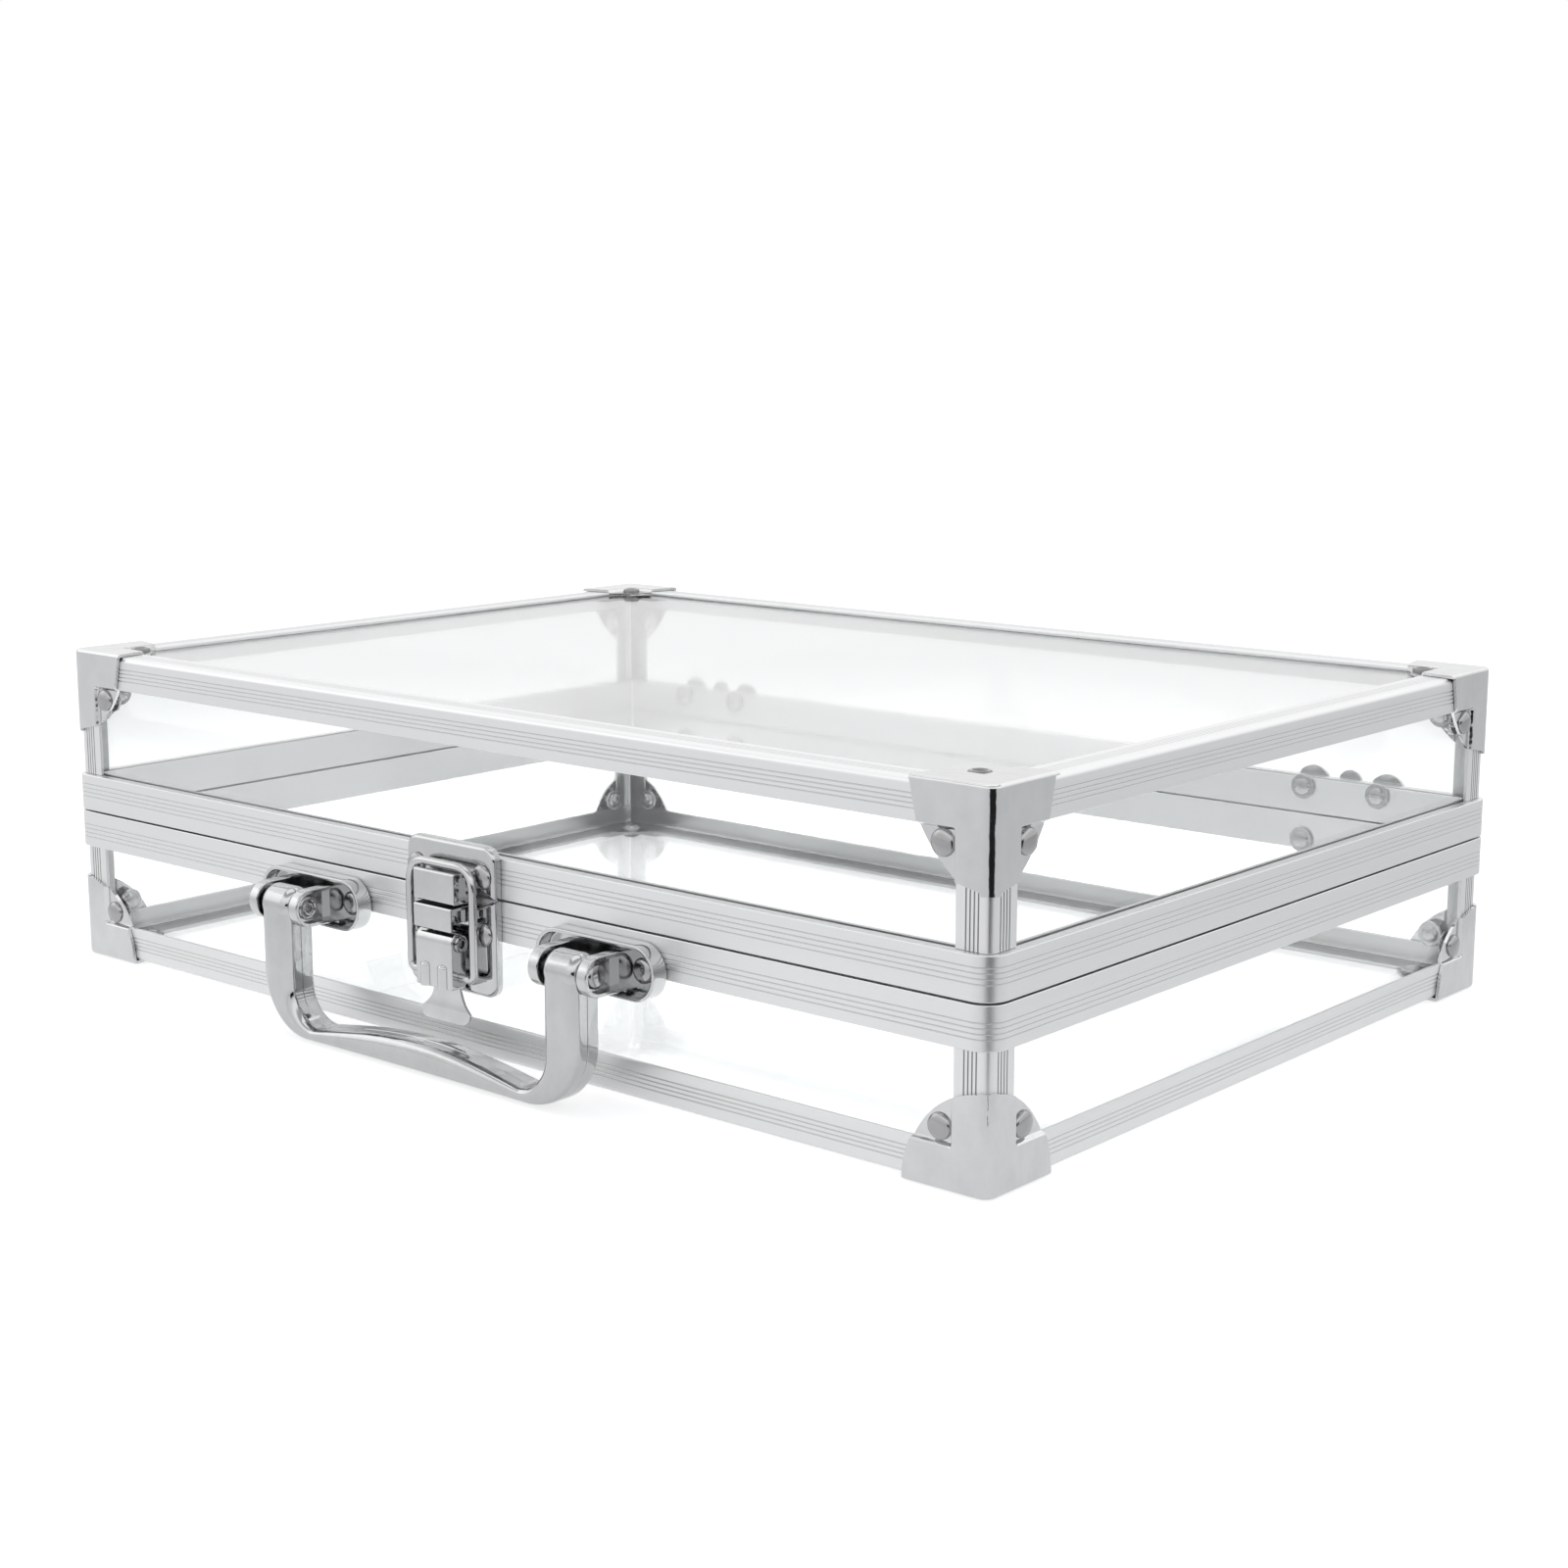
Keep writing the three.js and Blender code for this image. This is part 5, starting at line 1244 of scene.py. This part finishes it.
rings = []
for outer, inner in bow_edges():
    outer = Vector(outer)
    inner = Vector(inner)
    ring = []
    for share, y in handle_section():
        point = outer.lerp(inner, share)
        ring.append((point.x, y, point.y))
    rings.append(ring)
handle = skinned("handle_pressed", rings)
for sign in (-1, 1):
    middle = sign * LEG_X
    end = [(EYE_RADIUS - EYE_ROUND + r, x) for x, r in arc(LEG_HALF - EYE_ROUND, 0, EYE_ROUND, 90, 0, 8)]
    half_eye = end + [(0, LEG_HALF)]
    eye = turned("eye", [(r, -x) for r, x in reversed(half_eye)] + half_eye,
                 (middle, handle_y, HANDLE_PIN_Z), X, 48)
    pull(handle, "UNION", eye)
    drill(handle, "x", middle - 8, middle + 8, (handle_y, HANDLE_PIN_Z), HANDLE_BORE, 24)
handle_nickel = polished_nickel("handle nickel", (0.56, 0.565, 0.57), 0.03, 0.1, 0.0002)
mount(handle, "handle", "handle", [handle_nickel], "handle")

# Handle brackets: an obround cup pressed from 1.2 mm steel on the lower band, with two cast ears
# whose outer faces are dished. Two rivets hold each cup, and a headed pin carries the handle.
CUP_HALF = 21.9
CUP_RADIUS = 7.6
CUP_DEEP = 5.4
CUP_SHEET = 1.2
CUP_RIVET_X = 14.4
EAR_START = LEG_HALF + 1.05
EAR_END = EAR_START + 3.4
EAR_RADIUS = 5.5
EAR_DISH = 1.8
EAR_RIM = 1.1
cup_back = band_front - CLEARANCE
cup_front = cup_back - CUP_DEEP
cup_floor = cup_back - CUP_SHEET


def obround(middle, inset):
    half = CUP_HALF - CUP_RADIUS
    radius = CUP_RADIUS - inset
    return (
        arc(middle + half, HANDLE_PIN_Z, radius, 270, 450, 20)
        + arc(middle - half, HANDLE_PIN_Z, radius, 90, 270, 20)
    )


def pressed_cup(name, middle):
    """An open cup with a rolled rim and a soft bend round its floor."""
    levels = [
        (0.5, cup_back), (0, cup_back - 0.5), (0, cup_front + 0.45), (0.12, cup_front + 0.15),
        (0.4, cup_front), (0.8, cup_front), (1.08, cup_front + 0.15), (CUP_SHEET, cup_front + 0.45),
        (CUP_SHEET, cup_floor - 0.8), (CUP_SHEET + 0.25, cup_floor - 0.25), (CUP_SHEET + 0.8, cup_floor),
    ]
    return skinned(name, [[(x, y, z) for x, z in obround(middle, inset)] for inset, y in levels])


def ear_outline(start_y, inset):
    radius = EAR_RADIUS - inset
    return (
        [(start_y, HANDLE_PIN_Z + radius)]
        + arc(handle_y, HANDLE_PIN_Z, radius, 90, 270, 24)
        + [(start_y, HANDLE_PIN_Z - radius)]
    )


bracket_nickel = polished_nickel("bracket nickel", (0.62, 0.625, 0.63), 0.08, 0.22, 0.00012)
for side, sign in (("left", -1), ("right", 1)):
    middle = sign * LEG_X
    bracket = pressed_cup(f"{side}_handle_bracket_pressed", middle)
    for hand in (-1, 1):
        start, end = sorted((middle + hand * EAR_START, middle + hand * EAR_END))
        ear = ease(drawn_out("ear", ear_outline(cup_back - 0.6, 0), "x", start, end), 0.4, 3, 50)
        floor_x = middle + hand * (EAR_END - EAR_DISH)
        near, far = sorted((floor_x, middle + hand * (EAR_END + 2)))
        pull(ear, "DIFFERENCE", drawn_out("dish", ear_outline(cup_front - EAR_RIM, EAR_RIM), "x", near, far))
        pull(bracket, "UNION", ear)
    drill(bracket, "x", middle - 15, middle + 15, (handle_y, HANDLE_PIN_Z), HANDLE_BORE, 24)
    for hand, which in ((-1, "left"), (1, "right")):
        x = middle + hand * CUP_RIVET_X
        drill(bracket, "y", cup_front - 2, cup_back + 2, (x, HANDLE_PIN_Z), RIVET_HOLE)
        name = f"{side}_bracket_{which}_rivet"
        rivet = band_rivet(name + "_turned", x, HANDLE_PIN_Z, -1, cup_floor - CLEARANCE)
        mount(rivet, "base", "rivets", [rivet_nickel], name)
    mount(bracket, "base", "brackets", [bracket_nickel], f"{side}_handle_bracket")
    seat = EAR_END - EAR_DISH + CLEARANCE
    head = seat + 1.3
    domed_end = [(0, head), (1.3, head - 0.06), (2.3, head - 0.25), (3, head - 0.6), (3.35, head - 1),
                 (3.4, seat), (HANDLE_PIN_RADIUS, seat)]
    hollow_end = [(0, head - 1), (0.9, head - 1), (1.05, head - 0.3), (1.4, head - 0.15), (1.9, head - 0.25),
                  (2.15, head - 0.6), (2.5, head - 0.4), (3.1, head - 0.5), (3.4, head - 0.8), (3.4, seat),
                  (HANDLE_PIN_RADIUS, seat)]
    right_end, left_end = (domed_end, hollow_end) if side == "right" else (hollow_end, domed_end)
    pin_profile = [(r, -x) for r, x in left_end] + list(reversed(right_end))
    pin = turned(f"{side}_handle_pin_turned", pin_profile, (middle, handle_y, HANDLE_PIN_Z), X)
    mount(pin, "base", "pins", [rivet_nickel], f"{side}_handle_pin")
